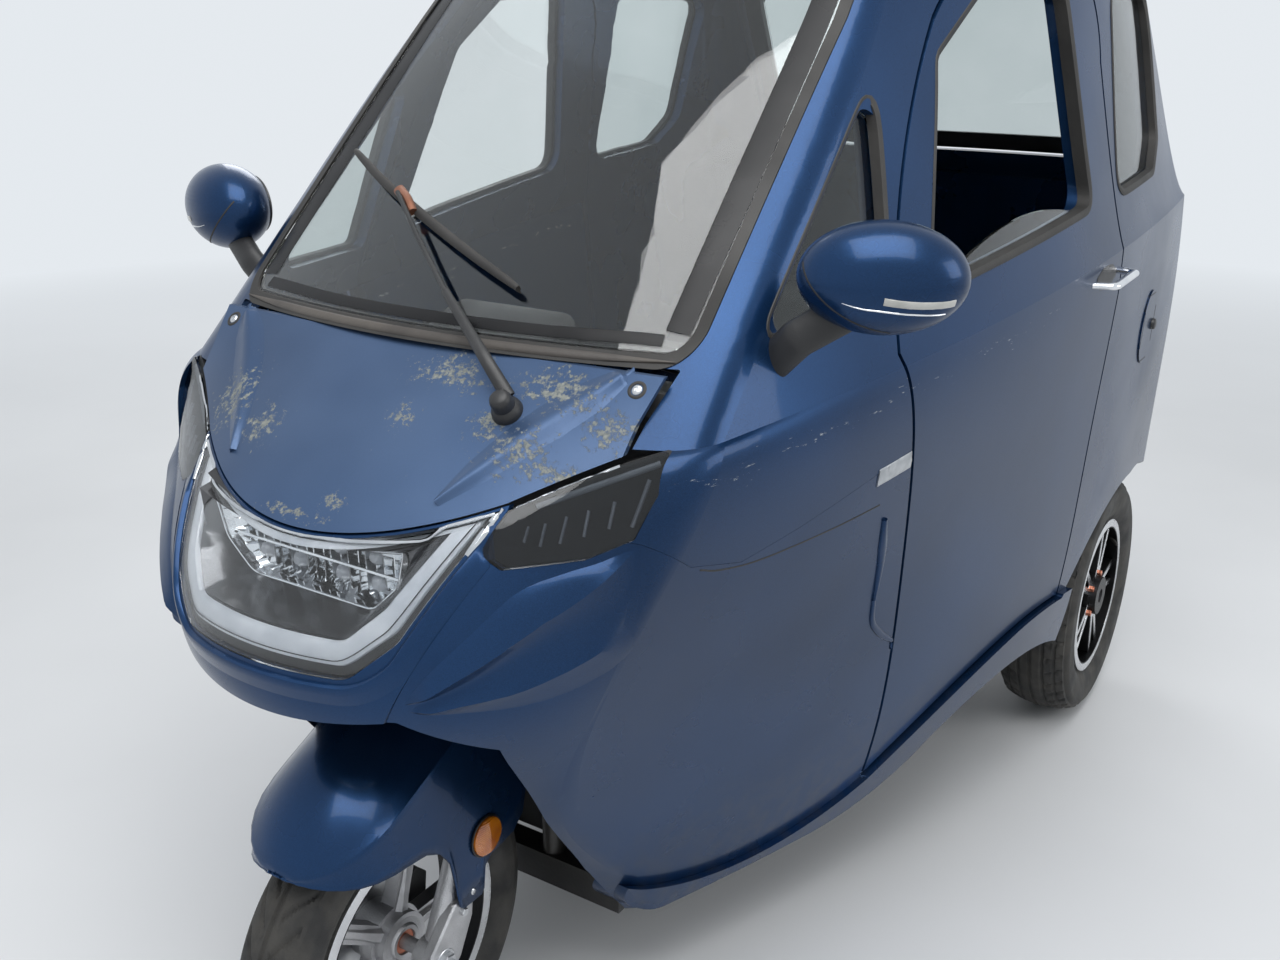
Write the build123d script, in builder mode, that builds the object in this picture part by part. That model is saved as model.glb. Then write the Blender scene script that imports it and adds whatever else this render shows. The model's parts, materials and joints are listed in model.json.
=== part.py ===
"""A three wheeled cabin car: one steered front wheel, two driven rear wheels, two doors and a rear hatch.

Frame: millimetres, the nose towards -Y, the left side towards +X, +Z up.
The origin lies on the ground, below the middle of the car.
"""
from build123d import *
import os
from math import cos, radians, sin

os.makedirs("parts", exist_ok=True)

# Running gear
front_axle_y = -825
front_tyre_radius = 235
front_tyre_width = 100
rear_axle_y = 751
rear_tyre_radius = 254
rear_tyre_width = 145
rim_lip_radius = 163
bead_radius = 153
rear_track = 915
steering_rake = 25
fork_leg_x = 76
fork_leg_radius = 15
guard_half_width = 101

# Body walls and gaps
cab_wall = 36
skin = 8
seam = 0.4
door_gap = 6
sill_proud = 12
belt_height = 1010
belt_slope = 0.065
roof_split = 1500

# Doors, hatch and seats
hatch_bottom = 1130
hatch_top = 1475
floor_height = 222
seat_height = 470
seat_width = 440
tube = 34

# Plan sections of the body below the belt: height, slope, then half-widths and stations along Y.
# Columns: z, slope, nose y, shoulder x, shoulder y, middle x, middle y, rear x, rear y, tail y,
# shoulder radius, rear radius.
BELT = (belt_height, belt_slope, -802, 407, -717, 525, -116, 552, 940, 1022, 80, 80)
LOWER_ROWS = [
    (170, 0, -600, 216, -520, 357, -116, 520, 900, 1040, 60, 80),
    (300, 0, -700, 222, -610, 405, -116, 535, 920, 1044, 60, 80),
    (500, 0, -860, 250, -745, 455, -116, 545, 935, 1048, 70, 80),
    (730, 0, -1000, 350, -770, 495, -116, 552, 950, 1050, 80, 80),
    (860, 0, -924, 400, -755, 515, -116, 555, 955, 1048, 80, 80),
    BELT,
]
UPPER_ROWS = [
    BELT,
    (1150, 0, -585, 391, -530, 496, -60, 524, 900, 972, 80, 80),
    (1340, 0, -391, 375, -330, 468, 30, 486, 815, 876, 80, 80),
    (1540, 0, -200, 335, -120, 420, 80, 435, 725, 780, 75, 75),
]
ROOF_ROWS = UPPER_ROWS[2:] + [
    (1610, 0, -120, 290, -30, 370, 100, 380, 660, 715, 70, 70),
    (1635, 0, 0, 190, 60, 260, 150, 270, 560, 600, 60, 60),
]
NOSE_ROWS = LOWER_ROWS[1:5] + [
    (1010, 0, -738, 410, -700, 525, -116, 550, 940, 1022, 80, 80),
    (1250, 0, -483, 385, -420, 480, 0, 500, 850, 910, 80, 80),
]


# Body surfaces
def plan_section(row, inset):
    """One closed plan outline of the body, drawn inwards by the inset."""
    z, slope, nose, shoulder_x, shoulder_y, middle_x, middle_y, rear_x, rear_y, tail, front_r, rear_r = row
    side_x = shoulder_x - 0.85 * inset
    side_y = shoulder_y + 0.7 * inset
    with BuildSketch(Plane(origin=(0, 0, z), x_dir=(1, 0, 0), z_dir=(0, -slope, 1))) as outline:
        with BuildLine():
            ThreePointArc((-side_x, side_y), (0, nose + inset), (side_x, side_y))
            ThreePointArc((side_x, side_y), (middle_x - inset, middle_y), (rear_x - inset, rear_y - inset))
            ThreePointArc((rear_x - inset, rear_y - inset), (0, tail - inset), (inset - rear_x, rear_y - inset))
            ThreePointArc((inset - rear_x, rear_y - inset), (inset - middle_x, middle_y), (-side_x, side_y))
        make_face()
        fillet(outline.vertices().sort_by(Axis.Y)[:2], front_r - 0.5 * inset)
        fillet(outline.vertices().sort_by(Axis.Y)[-2:], rear_r - 0.5 * inset)
    return outline.sketch


def body_form(rows, inset):
    """The solid inside the body surface, with the roof lowered by the inset as well."""
    with BuildPart() as form:
        for row in rows:
            drop = 0
            if row[0] > 1600:
                drop = inset if row[0] > 1620 else 0.6 * inset
            add(plan_section((row[0] - drop,) + tuple(row[1:]), inset))
        loft()
    return form.part


LOWER = {}
for inset in (-sill_proud, -2.4, -seam, 0, skin, skin + seam, 24, 24 + seam, cab_wall, cab_wall + seam):
    LOWER[inset] = body_form(LOWER_ROWS, inset)
UPPER = {}
for inset in (-2, 0, 1.6, 2, 7, 12, 17, 21, cab_wall):
    UPPER[inset] = body_form(UPPER_ROWS, inset)
ROOF = {}
for inset in (0, cab_wall):
    ROOF[inset] = body_form(ROOF_ROWS, inset)
NOSE = {}
for inset in (0, 3.6, 4, skin, 9, 14, 14.4, 30, cab_wall):
    NOSE[inset] = body_form(NOSE_ROWS, inset)

# Planes that outlines are drawn on: the side view from the left, and the front view
side_view = Plane.YZ
front_view = Plane.XZ.offset(430)
glass_view = Plane.XZ.offset(40)
rear_view = Plane.XZ.offset(-700)
far = 700


def side_cut(outline):
    """A prism of a side view outline through the whole width of the car."""
    return extrude(outline, far, both=True, mode=Mode.PRIVATE)


def front_cut(outline):
    """A prism of a front view outline through everything ahead of the doors."""
    return extrude(outline, far, dir=(0, -1, 0), mode=Mode.PRIVATE)


def tail_cut(outline):
    """A prism of a rear view outline through the tail."""
    return extrude(outline, far, dir=(0, 1, 0), mode=Mode.PRIVATE)


def glass_cut(outline):
    """A prism of a front view outline through everything ahead of the roof."""
    return extrude(outline, far + 400, dir=(0, -1, 0), mode=Mode.PRIVATE)


def grown(outline, amount):
    """A copy of an outline with its edge moved outwards by the amount."""
    return offset(outline, amount, kind=Kind.ARC, mode=Mode.PRIVATE)


# Door outline in the side view, from the lower front corner round by the bottom
door_front_low = (-138, 254)
door_rear_low = (380, 402)
with BuildSketch(side_view) as door_outline:
    with BuildLine():
        ThreePointArc(door_front_low, (80, 372), door_rear_low)
        Line(door_rear_low, (398, 960))
        Line((398, 960), (340, 1330))
        ThreePointArc((340, 1330), (300, 1450), (190, 1494))
        ThreePointArc((190, 1494), (-10, 1470), (-135, 1395))
        ThreePointArc((-135, 1395), (-262, 1229), (-352, 1004))
        ThreePointArc((-352, 1004), (-222, 622), door_front_low)
    make_face()

with BuildSketch(side_view) as door_window:
    with BuildLine():
        FilletPolyline(
            (-262, 1062), (268, 1114), (215, 1448), (-20, 1430), (-150, 1350), radius=38, close=True,
        )
    make_face()

with BuildSketch(side_view) as quarter_window:
    with BuildLine():
        FilletPolyline((-590, 1052), (-352, 1052), (-284, 1330), radius=20, close=True)
    make_face()

with BuildSketch(side_view) as rear_window:
    with BuildLine():
        FilletPolyline((395, 1118), (640, 1134), (705, 1190), (722, 1440), (412, 1440), radius=40, close=True)
    make_face()

# Sill and wheel arch lip, one moulding along each side
arch_front = 428
arch_rear = 1024
arch_top = 533
arch_side = 398
with BuildSketch(side_view) as arch_opening:
    with BuildLine():
        Line((arch_front, 100), (arch_front, arch_side))
        ThreePointArc((arch_front, arch_side), (560, 499), (rear_axle_y, arch_top))
        ThreePointArc((rear_axle_y, arch_top), (930, 497), (arch_rear, arch_side))
        Line((arch_rear, arch_side), (arch_rear, 100))
        Line((arch_rear, 100), (arch_front, 100))
    make_face()

with BuildSketch(side_view) as sill_outline:
    with BuildLine():
        ThreePointArc((-580, 244), (-552, 190), (-490, 171))
        Line((-490, 171), (-250, 171))
        ThreePointArc((-250, 171), (-120, 188), (9, 262))
        ThreePointArc((9, 262), (200, 322), (430, 285))
        Line((430, 285), (430, 398))
        ThreePointArc((430, 398), (80, 362), (-138, 244))
        ThreePointArc((-138, 244), (-358, 190), (-580, 244))
    make_face()

with BuildSketch(side_view) as flare_outline:
    add(grown(arch_opening.sketch, 34))
    add(arch_opening.sketch, mode=Mode.SUBTRACT)
    with Locations((rear_axle_y, 0)):
        Rectangle(900, 2 * 285, mode=Mode.SUBTRACT)
    with Locations((1200, 500)):
        Rectangle(400, 1000, mode=Mode.SUBTRACT)

# Front view outlines: windshield, hood, lamps and chin
with BuildSketch(glass_view) as windshield_outline:
    with BuildLine():
        FilletPolyline((-350, 1046), (350, 1046), (338, 1395), (322, 1522), (-322, 1522), (-338, 1395),
                       radius=26, close=True)
    make_face()

hood_corner = (240, 908)
hood_tip = (338, 957)
with BuildSketch(front_view) as hood_outline:
    with BuildLine():
        ThreePointArc((-hood_corner[0], hood_corner[1]), (0, 861), hood_corner)
        ThreePointArc(hood_corner, (290, 934), hood_tip)
        Line(hood_tip, (340, 985))
        Line((340, 985), (350, 1031))
        Line((350, 1031), (-350, 1031))
        Line((-350, 1031), (-340, 985))
        Line((-340, 985), (-hood_tip[0], hood_tip[1]))
        ThreePointArc((-hood_tip[0], hood_tip[1]), (-290, 934), (-hood_corner[0], hood_corner[1]))
    make_face()

with BuildSketch(front_view) as lamp_outline:
    with BuildLine():
        ThreePointArc((-238, 902), (0, 856), (238, 902))
        FilletPolyline((238, 902), (178, 772), (128, 727), (-128, 727), (-178, 772), (-238, 902), radius=34)
    make_face()

with BuildSketch(front_view) as ring_inside:
    with BuildLine():
        ThreePointArc((-190, 874), (0, 843), (190, 874))
        FilletPolyline((190, 874), (153, 802), (114, 764), (-114, 764), (-153, 802), (-190, 874), radius=28)
    make_face()

with BuildSketch(front_view) as chin_outline:
    with BuildLine():
        Line((-243, 906), (243, 906))
        Line((243, 906), (246, 850))
        ThreePointArc((246, 850), (204, 762), (160, 676))
        ThreePointArc((160, 676), (0, 664), (-160, 676))
        ThreePointArc((-160, 676), (-204, 762), (-246, 850))
        Line((-246, 850), (-243, 906))
    make_face()

with BuildSketch(front_view) as left_wing:
    with BuildLine():
        FilletPolyline((230, 862), (258, 847), (330, 857), (370, 877), (387, 925), (382, 966), (338, 949),
                       (288, 925), (243, 901), radius=5, close=True)
    make_face()
with BuildSketch(front_view) as wings_outline:
    add(left_wing.sketch)
    mirror(about=Plane.YZ)

with BuildSketch(front_view) as well_outline:
    with BuildLine():
        Polyline((-190, 100), (-190, 300), (-206, 440), (-240, 620), (-170, 676),
                 (170, 676), (240, 620), (206, 440), (190, 300), (190, 100), close=True)
    make_face()

hood_tool = front_cut(hood_outline.sketch)
hood_clear = front_cut(grown(hood_outline.sketch, 2.5))
lamp_tool = front_cut(grown(lamp_outline.sketch, -seam))
ring_tool = front_cut(ring_inside.sketch)
chin_tool = front_cut(chin_outline.sketch)
chin_clear = front_cut(grown(chin_outline.sketch, seam))
wing_tool = front_cut(grown(wings_outline.sketch, -seam))
wing_clear = front_cut(wings_outline.sketch)
well_tool = front_cut(well_outline.sketch)
glass_tool = glass_cut(grown(windshield_outline.sketch, -seam))
glass_clear = glass_cut(windshield_outline.sketch)
opening_tool = glass_cut(grown(windshield_outline.sketch, 14))
seal_tool = glass_cut(grown(windshield_outline.sketch, 14 - seam))
door_tool = side_cut(door_outline.sketch)
door_clear = side_cut(grown(door_outline.sketch, door_gap))
pillar_tool = side_cut(grown(door_outline.sketch, door_gap + 58))
sill_tool = side_cut(sill_outline.sketch)
sill_clear = side_cut(grown(sill_outline.sketch, seam))
flare_tool = side_cut(flare_outline.sketch)
flare_clear = side_cut(grown(flare_outline.sketch, seam))
window_tool = side_cut(door_window.sketch)
quarter_tool = side_cut(quarter_window.sketch)
rear_window_tool = side_cut(rear_window.sketch)
arch_tool = side_cut(arch_opening.sketch)


def side_block(*corners):
    """A prism of a side view polygon through the whole width of the car."""
    with BuildSketch(side_view, mode=Mode.PRIVATE) as block:
        with BuildLine():
            Polyline(*corners, close=True)
        make_face()
    return extrude(block.sketch, far, both=True, mode=Mode.PRIVATE)


def span(low, high):
    """A box between two corners."""
    size = [high[i] - low[i] for i in range(3)]
    middle = [(high[i] + low[i]) / 2 for i in range(3)]
    return Pos(*middle) * Box(*size, mode=Mode.PRIVATE)


# Front panels
with BuildPart() as hood:
    add(NOSE[0])
    add(hood_tool, mode=Mode.INTERSECT)
    add(NOSE[skin], mode=Mode.SUBTRACT)

lamp_clear = front_cut(lamp_outline.sketch)
with BuildPart() as nose_panel:
    add(NOSE[0])
    add(chin_tool, mode=Mode.INTERSECT)
    add(NOSE[skin], mode=Mode.SUBTRACT)
    add(lamp_clear, mode=Mode.SUBTRACT)
    add(hood_clear, mode=Mode.SUBTRACT)
    add(wing_clear, mode=Mode.SUBTRACT)

fender_seam = [(-830, 890), (-778, 872), (-716, 829), (-626, 806), (-526, 822), (-300, 868)]
fender_tool = side_block(*fender_seam, (-300, 1150), (-830, 1150))
fender_clear = side_block(*[(y, z - seam) for y, z in fender_seam], (-300, 1150), (-840, 1150), (-840, 890))
lower_panel_tool = side_block((-1010, 895), (-1010, 150), (-100, 150), (-100, 895))
door_foot = side_block((-142, 150), (-142, 300), (-90, 340), (-90, 150))

with BuildPart() as front_fenders:
    add(LOWER[0])
    add(fender_tool, mode=Mode.INTERSECT)
    add(LOWER[skin], mode=Mode.SUBTRACT)
    add(hood_clear, mode=Mode.SUBTRACT)
    add(chin_clear, mode=Mode.SUBTRACT)
    add(wing_clear, mode=Mode.SUBTRACT)
    add(door_clear, mode=Mode.SUBTRACT)

with BuildPart() as front_lower_panels:
    add(LOWER[0])
    add(lower_panel_tool, mode=Mode.INTERSECT)
    add(LOWER[skin], mode=Mode.SUBTRACT)
    add(fender_clear, mode=Mode.SUBTRACT)
    add(chin_clear, mode=Mode.SUBTRACT)
    add(hood_clear, mode=Mode.SUBTRACT)
    add(wing_clear, mode=Mode.SUBTRACT)
    add(well_tool, mode=Mode.SUBTRACT)
    add(door_clear, mode=Mode.SUBTRACT)
    add(door_foot, mode=Mode.SUBTRACT)
    add(sill_clear, mode=Mode.SUBTRACT)

hinge_tool = pillar_tool & side_block((-500, 300), (-100, 300), (-100, 955), (-500, 955))
with BuildPart() as hinge_pillars:
    add(LOWER[skin + seam])
    add(hinge_tool, mode=Mode.INTERSECT)
    add(LOWER[cab_wall], mode=Mode.SUBTRACT)
    add(door_clear, mode=Mode.SUBTRACT)

# Cab above the belt
front_upper_tool = side_block((-900, 900), (-900, roof_split), (0, roof_split), (0, 900))
with BuildPart() as front_pillars:
    add(UPPER[0])
    add(front_upper_tool, mode=Mode.INTERSECT)
    add(UPPER[cab_wall], mode=Mode.SUBTRACT)
    add(door_clear, mode=Mode.SUBTRACT)
    add(opening_tool, mode=Mode.SUBTRACT)
    add(hood_clear, mode=Mode.SUBTRACT)
    add(quarter_tool, mode=Mode.SUBTRACT)

roof_tool = span((-600, -600, roof_split + seam), (600, 1000, 1700))
with BuildPart() as roof_panel:
    add(ROOF[0])
    add(roof_tool, mode=Mode.INTERSECT)
    add(ROOF[cab_wall], mode=Mode.SUBTRACT)
    add(opening_tool, mode=Mode.SUBTRACT)

hatch_half_width = 372
with BuildSketch(rear_view) as hatch_outline:
    with Locations((0, (hatch_bottom + hatch_top) / 2)):
        RectangleRounded(2 * hatch_half_width, hatch_top - hatch_bottom, 50)
hatch_tool = tail_cut(hatch_outline.sketch)
hatch_middle = span((-hatch_half_width - 12, 500, 1000), (hatch_half_width + 12, 1200, 1700))

rear_upper_tool = side_block((200, 900), (200, roof_split), (1200, roof_split), (1200, 900))
with BuildPart() as rear_pillars:
    add(UPPER[0])
    add(rear_upper_tool, mode=Mode.INTERSECT)
    add(UPPER[cab_wall], mode=Mode.SUBTRACT)
    add(door_clear, mode=Mode.SUBTRACT)
    add(rear_window_tool, mode=Mode.SUBTRACT)
    add(hatch_middle, mode=Mode.SUBTRACT)

hatch_clear = tail_cut(grown(hatch_outline.sketch, 5))
hatch_pins = ((-110, 806, 1484), (110, 806, 1484))
hatch_pin_radius = 7
hatch_pin_length = 60
surround_tool = span((-hatch_half_width - 11.6, 600, 900), (hatch_half_width + 11.6, 1200, roof_split))
with BuildPart() as hatch_surround:
    add(UPPER[0])
    add(surround_tool, mode=Mode.INTERSECT)
    add(UPPER[cab_wall], mode=Mode.SUBTRACT)
    add(hatch_clear, mode=Mode.SUBTRACT)
    with Locations(*hatch_pins):
        Cylinder(hatch_pin_radius + seam, hatch_pin_length + 2, rotation=(0, 90, 0), mode=Mode.SUBTRACT)

# Lower body behind the doors
rear_middle = span((-430, 780, 100), (430, 1200, 1200))
rear_lower_tool = side_block((200, 280), (200, 1200), (1200, 1200), (1200, 330), (1000, 330), (1000, 280))
with BuildPart() as rear_quarter_panels:
    add(LOWER[0])
    add(rear_lower_tool, mode=Mode.INTERSECT)
    add(LOWER[cab_wall], mode=Mode.SUBTRACT)
    add(door_clear, mode=Mode.SUBTRACT)
    add(arch_tool, mode=Mode.SUBTRACT)
    add(sill_clear, mode=Mode.SUBTRACT)
    add(flare_clear, mode=Mode.SUBTRACT)
    add(rear_middle, mode=Mode.SUBTRACT)

rear_panel_tool = span((-429.6, 800, 330), (429.6, 1200, 1200))
tyre_room = span((370, 480, 0), (700, 1018, 522)) + span((-700, 480, 0), (-370, 1018, 522))
with BuildPart() as rear_panel:
    add(LOWER[0])
    add(rear_panel_tool, mode=Mode.INTERSECT)
    add(LOWER[cab_wall], mode=Mode.SUBTRACT)
    add(tyre_room, mode=Mode.SUBTRACT)

bumper_tool = span((-400, 800, 330), (400, 1200, 478))
with BuildPart() as rear_bumper:
    add(LOWER[-sill_proud])
    add(bumper_tool, mode=Mode.INTERSECT)
    add(LOWER[-seam], mode=Mode.SUBTRACT)

sill_and_flare = sill_tool + flare_tool
with BuildPart() as sills:
    add(LOWER[-sill_proud])
    add(sill_and_flare, mode=Mode.INTERSECT)
    add(LOWER[24], mode=Mode.SUBTRACT)
    add(door_clear, mode=Mode.SUBTRACT)

# Glazing
with BuildPart() as windshield:
    add(UPPER[2])
    add(glass_tool, mode=Mode.INTERSECT)
    add(UPPER[7], mode=Mode.SUBTRACT)

with BuildPart() as windshield_seal:
    add(UPPER[-2])
    add(seal_tool, mode=Mode.INTERSECT)
    add(UPPER[12], mode=Mode.SUBTRACT)
    add(glass_clear, mode=Mode.SUBTRACT)

side_glass_tool = side_cut(grown(quarter_window.sketch, -seam)) + side_cut(grown(rear_window.sketch, -seam))
with BuildPart() as side_glass:
    add(UPPER[12])
    add(side_glass_tool, mode=Mode.INTERSECT)
    add(UPPER[17], mode=Mode.SUBTRACT)

# Lamps
with BuildPart() as light_ring:
    add(NOSE[4])
    add(lamp_tool, mode=Mode.INTERSECT)
    add(NOSE[14], mode=Mode.SUBTRACT)
    add(ring_tool, mode=Mode.SUBTRACT)

all_lenses = lamp_tool + wing_tool
with BuildPart() as lamp_lenses:
    add(NOSE[0])
    add(all_lenses, mode=Mode.INTERSECT)
    add(NOSE[3.6], mode=Mode.SUBTRACT)
    add(hood.part, mode=Mode.SUBTRACT)

lamp_back = -846
lamp_pocket = ring_tool & span((-300, -1100, 600), (300, lamp_back - 6, 1000))
lamp_front = span((-300, lamp_back, 600), (300, 0, 1000))
with BuildPart() as headlamp_housing:
    add(NOSE[14.4])
    add(lamp_tool, mode=Mode.INTERSECT)
    add(lamp_front, mode=Mode.SUBTRACT)
    add(lamp_pocket, mode=Mode.SUBTRACT)

with BuildPart() as indicator_housings:
    add(NOSE[9])
    add(wing_tool, mode=Mode.INTERSECT)
    add(NOSE[30], mode=Mode.SUBTRACT)
    add(front_pillars.part, mode=Mode.SUBTRACT)
    add(hood.part, mode=Mode.SUBTRACT)

# Doors: the panel's inner part stands back from its edge, and a notch in it takes the striker
door_rebate = 12
striker = (529, 700)
striker_radius = 5
striker_front = 362
inner_door = side_cut(grown(door_outline.sketch, -door_rebate))
with BuildPart() as rebate:
    add(LOWER[skin + seam])
    add(door_tool, mode=Mode.INTERSECT)
    add(inner_door, mode=Mode.SUBTRACT)
notch_half = striker_radius + 0.3
left_notch = span((450, striker_front - 2, striker[1] - notch_half),
                  (striker[0] + notch_half, 420, striker[1] + notch_half))
with BuildPart() as door_panel:
    add(LOWER[0])
    add(door_tool, mode=Mode.INTERSECT)
    add(LOWER[cab_wall], mode=Mode.SUBTRACT)
    add(rebate.part, mode=Mode.SUBTRACT)
    add(left_notch, mode=Mode.SUBTRACT)
    add(mirror(left_notch, about=Plane.YZ, mode=Mode.PRIVATE), mode=Mode.SUBTRACT)

with BuildPart() as door_strikers:
    for x in (-striker[0], striker[0]):
        with BuildSketch(Plane.XZ.offset(-striker_front)):
            with Locations((x, striker[1])):
                Circle(striker_radius)
        extrude(amount=-50)
    add(rear_quarter_panels.part, mode=Mode.SUBTRACT)

with BuildPart() as door_frame:
    add(UPPER[0])
    add(door_tool, mode=Mode.INTERSECT)
    add(UPPER[cab_wall], mode=Mode.SUBTRACT)
    add(window_tool, mode=Mode.SUBTRACT)

door_glass_tool = side_cut(grown(door_window.sketch, -seam))
with BuildPart() as raised_glass:
    add(UPPER[12])
    add(door_glass_tool, mode=Mode.INTERSECT)
    add(UPPER[17], mode=Mode.SUBTRACT)

with BuildSketch(side_view) as lowered_glass:
    with BuildLine():
        Line((-200, 1069), (228, 1111))
        ThreePointArc((228, 1111), (20, 1126), (-200, 1069))
    make_face()
lowered_glass_tool = side_cut(lowered_glass.sketch)
with BuildPart() as lowered_glass_edge:
    add(UPPER[12])
    add(lowered_glass_tool, mode=Mode.INTERSECT)
    add(UPPER[17], mode=Mode.SUBTRACT)

handle_centre = (312, 1000)
handle_half = 62
handle_root = 545
handle_reach = 46
with BuildPart() as door_handle:
    with BuildLine() as handle_path:
        FilletPolyline(
            (handle_root, handle_centre[0] - handle_half, handle_centre[1] - 4),
            (handle_root + handle_reach, handle_centre[0] - handle_half + 8, handle_centre[1] - 3),
            (handle_root + handle_reach + 4, handle_centre[0] + handle_half - 8, handle_centre[1] + 3),
            (handle_root, handle_centre[0] + handle_half, handle_centre[1] + 4),
            radius=12,
        )
    with BuildSketch(Plane(origin=handle_path.line @ 0, z_dir=handle_path.line % 0)):
        Ellipse(8, 6)
    sweep()
    mirror(about=Plane.YZ)
    add(LOWER[0], mode=Mode.SUBTRACT)

# Rear hatch
hatch_hole = tail_cut(grown(hatch_outline.sketch, -34))
hatch_pane = tail_cut(grown(hatch_outline.sketch, -34 - seam))
with BuildPart() as hatch_frame:
    add(UPPER[0])
    add(hatch_tool, mode=Mode.INTERSECT)
    add(UPPER[21], mode=Mode.SUBTRACT)
    add(hatch_hole, mode=Mode.SUBTRACT)

with BuildPart() as hatch_glass:
    add(UPPER[2])
    add(hatch_pane, mode=Mode.INTERSECT)
    add(UPPER[7], mode=Mode.SUBTRACT)

# Tail lamps and charge flap
with BuildSketch(rear_view) as tail_lamp_outline:
    with Locations((470, 760), (-470, 760)):
        RectangleRounded(64, 250, 20)
tail_lamp_tool = tail_cut(tail_lamp_outline.sketch)
with BuildPart() as tail_lamps:
    add(LOWER[-sill_proud])
    add(tail_lamp_tool, mode=Mode.INTERSECT)
    add(LOWER[-seam], mode=Mode.SUBTRACT)

with BuildSketch(side_view) as flap_outline:
    with Locations((668, 850)):
        Ellipse(48, 70)
flap_tool = side_cut(flap_outline.sketch)
with BuildPart() as charge_flap:
    add(LOWER[-2.4])
    add(flap_tool, mode=Mode.INTERSECT)
    add(LOWER[-seam], mode=Mode.SUBTRACT)

# Mirrors
mirror_centre = (527, -532, 1132)
mirror_turn = 22
mirror_half = (93, 58, 62)
with BuildPart() as mirror_ball:
    Sphere(mirror_half[0])
    scale(by=(1, mirror_half[1] / mirror_half[0], mirror_half[2] / mirror_half[0]))
    with Locations((0, 94, 0)):
        Box(220, 100, 200, mode=Mode.SUBTRACT)
left_mirror = Pos(*mirror_centre) * Rot(0, 0, mirror_turn) * mirror_ball.part
with BuildPart() as mirror_heads:
    add(left_mirror)
    mirror(about=Plane.YZ)
with BuildPart() as mirror_arms:
    with BuildLine() as arm_path:
        FilletPolyline((412, -562, 1028), (446, -566, 1062), (500, -548, 1098), (512, -540, 1130), radius=20)
    with BuildSketch(Plane(origin=arm_path.line @ 0, z_dir=arm_path.line % 0)):
        Ellipse(22, 15)
    sweep()
    mirror(about=Plane.YZ)
    add(UPPER[0], mode=Mode.SUBTRACT)
    add(mirror_heads.part, mode=Mode.SUBTRACT)

# Wiper: the pivot on the hood, the arm, and the blade that follows the glass
wiper_pivot = (188, -762, 984)
with BuildPart() as wiper:
    with BuildSketch(Plane.XY.offset(wiper_pivot[2])):
        with Locations(wiper_pivot[:2]):
            Circle(15)
    extrude(amount=20, both=True)
    with BuildLine() as wiper_arm:
        FilletPolyline((188, -762, 1004), (150, -752, 1040), (-140, -568, 1188), radius=24)
    with BuildSketch(Plane(origin=wiper_arm.line @ 0, z_dir=wiper_arm.line % 0)):
        Rectangle(14, 8)
    sweep()
    with BuildLine() as wiper_blade:
        ThreePointArc((120, -652, 1097), (-85, -588, 1160), (-290, -494, 1222))
    with BuildSketch(Plane(origin=wiper_blade.line @ 0, z_dir=wiper_blade.line % 0)):
        Circle(7.5)
    sweep()
    with BuildSketch(Plane.XY.offset(1178)):
        with Locations((-132, -572)):
            Circle(11)
    extrude(amount=14, both=True)
    add(NOSE[0], mode=Mode.SUBTRACT)
    add(UPPER[1.6], mode=Mode.SUBTRACT)

# Chassis and floor
head_tube_low = 440
head_tube_length = 150
rail_x = 170
rail_width = 40
rail_height = 50
with BuildPart() as chassis_frame:
    with BuildSketch(side_view):
        with BuildLine():
            Polyline((-556, floor_height - 1), (438, floor_height - 1), (462, 399), (1000, 399),
                     (1000, 399 - rail_height), (500, 399 - rail_height), (476, floor_height - 1 - rail_height),
                     (-556, floor_height - 1 - rail_height), close=True)
        make_face()
    extrude(amount=rail_x + rail_width / 2, both=True)
    with BuildSketch(side_view):
        with Locations((0, 300)):
            Rectangle(3000, 600)
    extrude(amount=rail_x - rail_width / 2, both=True, mode=Mode.SUBTRACT)
    for y, z in ((-536, floor_height - 26), (-60, floor_height - 26), (400, floor_height - 26), (960, 374)):
        with Locations((0, y, z)):
            Box(2 * rail_x, 40, rail_height)
    for x in (-60, 60):
        with BuildLine() as down_tube:
            FilletPolyline((x, -536, floor_height - 20), (x, -536, 430), (x * 0.5, -612, 672), radius=60)
        with BuildSketch(Plane(origin=down_tube.line @ 0, z_dir=down_tube.line % 0)):
            Circle(tube / 2)
        sweep()
    steer_axis = (0, sin(radians(steering_rake)), cos(radians(steering_rake)))
    steer_frame = Plane(origin=(0, front_axle_y, front_tyre_radius), x_dir=(1, 0, 0), z_dir=steer_axis)
    with BuildSketch(steer_frame.offset(head_tube_low)):
        Circle(33)
    extrude(amount=head_tube_length)
    with BuildSketch(steer_frame.offset(300)):
        Circle(20.25)
    extrude(amount=600, mode=Mode.SUBTRACT)
    add(rear_panel.part, mode=Mode.SUBTRACT)
    add(sills.part, mode=Mode.SUBTRACT)

sheet = 6
bulkhead_y = -510
dash_low = 800
step_y = 432
rear_floor = 400
with BuildPart() as floor_pan:
    with BuildSketch(side_view):
        with BuildLine():
            Polyline((bulkhead_y, floor_height), (step_y, floor_height), (step_y, rear_floor), (1000, rear_floor),
                     (1000, rear_floor + sheet), (step_y - sheet, rear_floor + sheet),
                     (step_y - sheet, floor_height + sheet), (bulkhead_y + sheet, floor_height + sheet),
                     (bulkhead_y + sheet, dash_low), (bulkhead_y, dash_low), close=True)
        make_face()
    extrude(amount=340, both=True)
    add(LOWER[24 + seam], mode=Mode.INTERSECT)
    add(rear_panel.part, mode=Mode.SUBTRACT)

inner_sill_tool = (sill_tool & span((-700, -400, 100), (700, 424, 700))) - span((-341, -500, 0), (341, 500, 900))
with BuildPart() as inner_sills:
    add(LOWER[24 + seam])
    add(inner_sill_tool, mode=Mode.INTERSECT)
    add(door_clear, mode=Mode.SUBTRACT)

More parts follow.
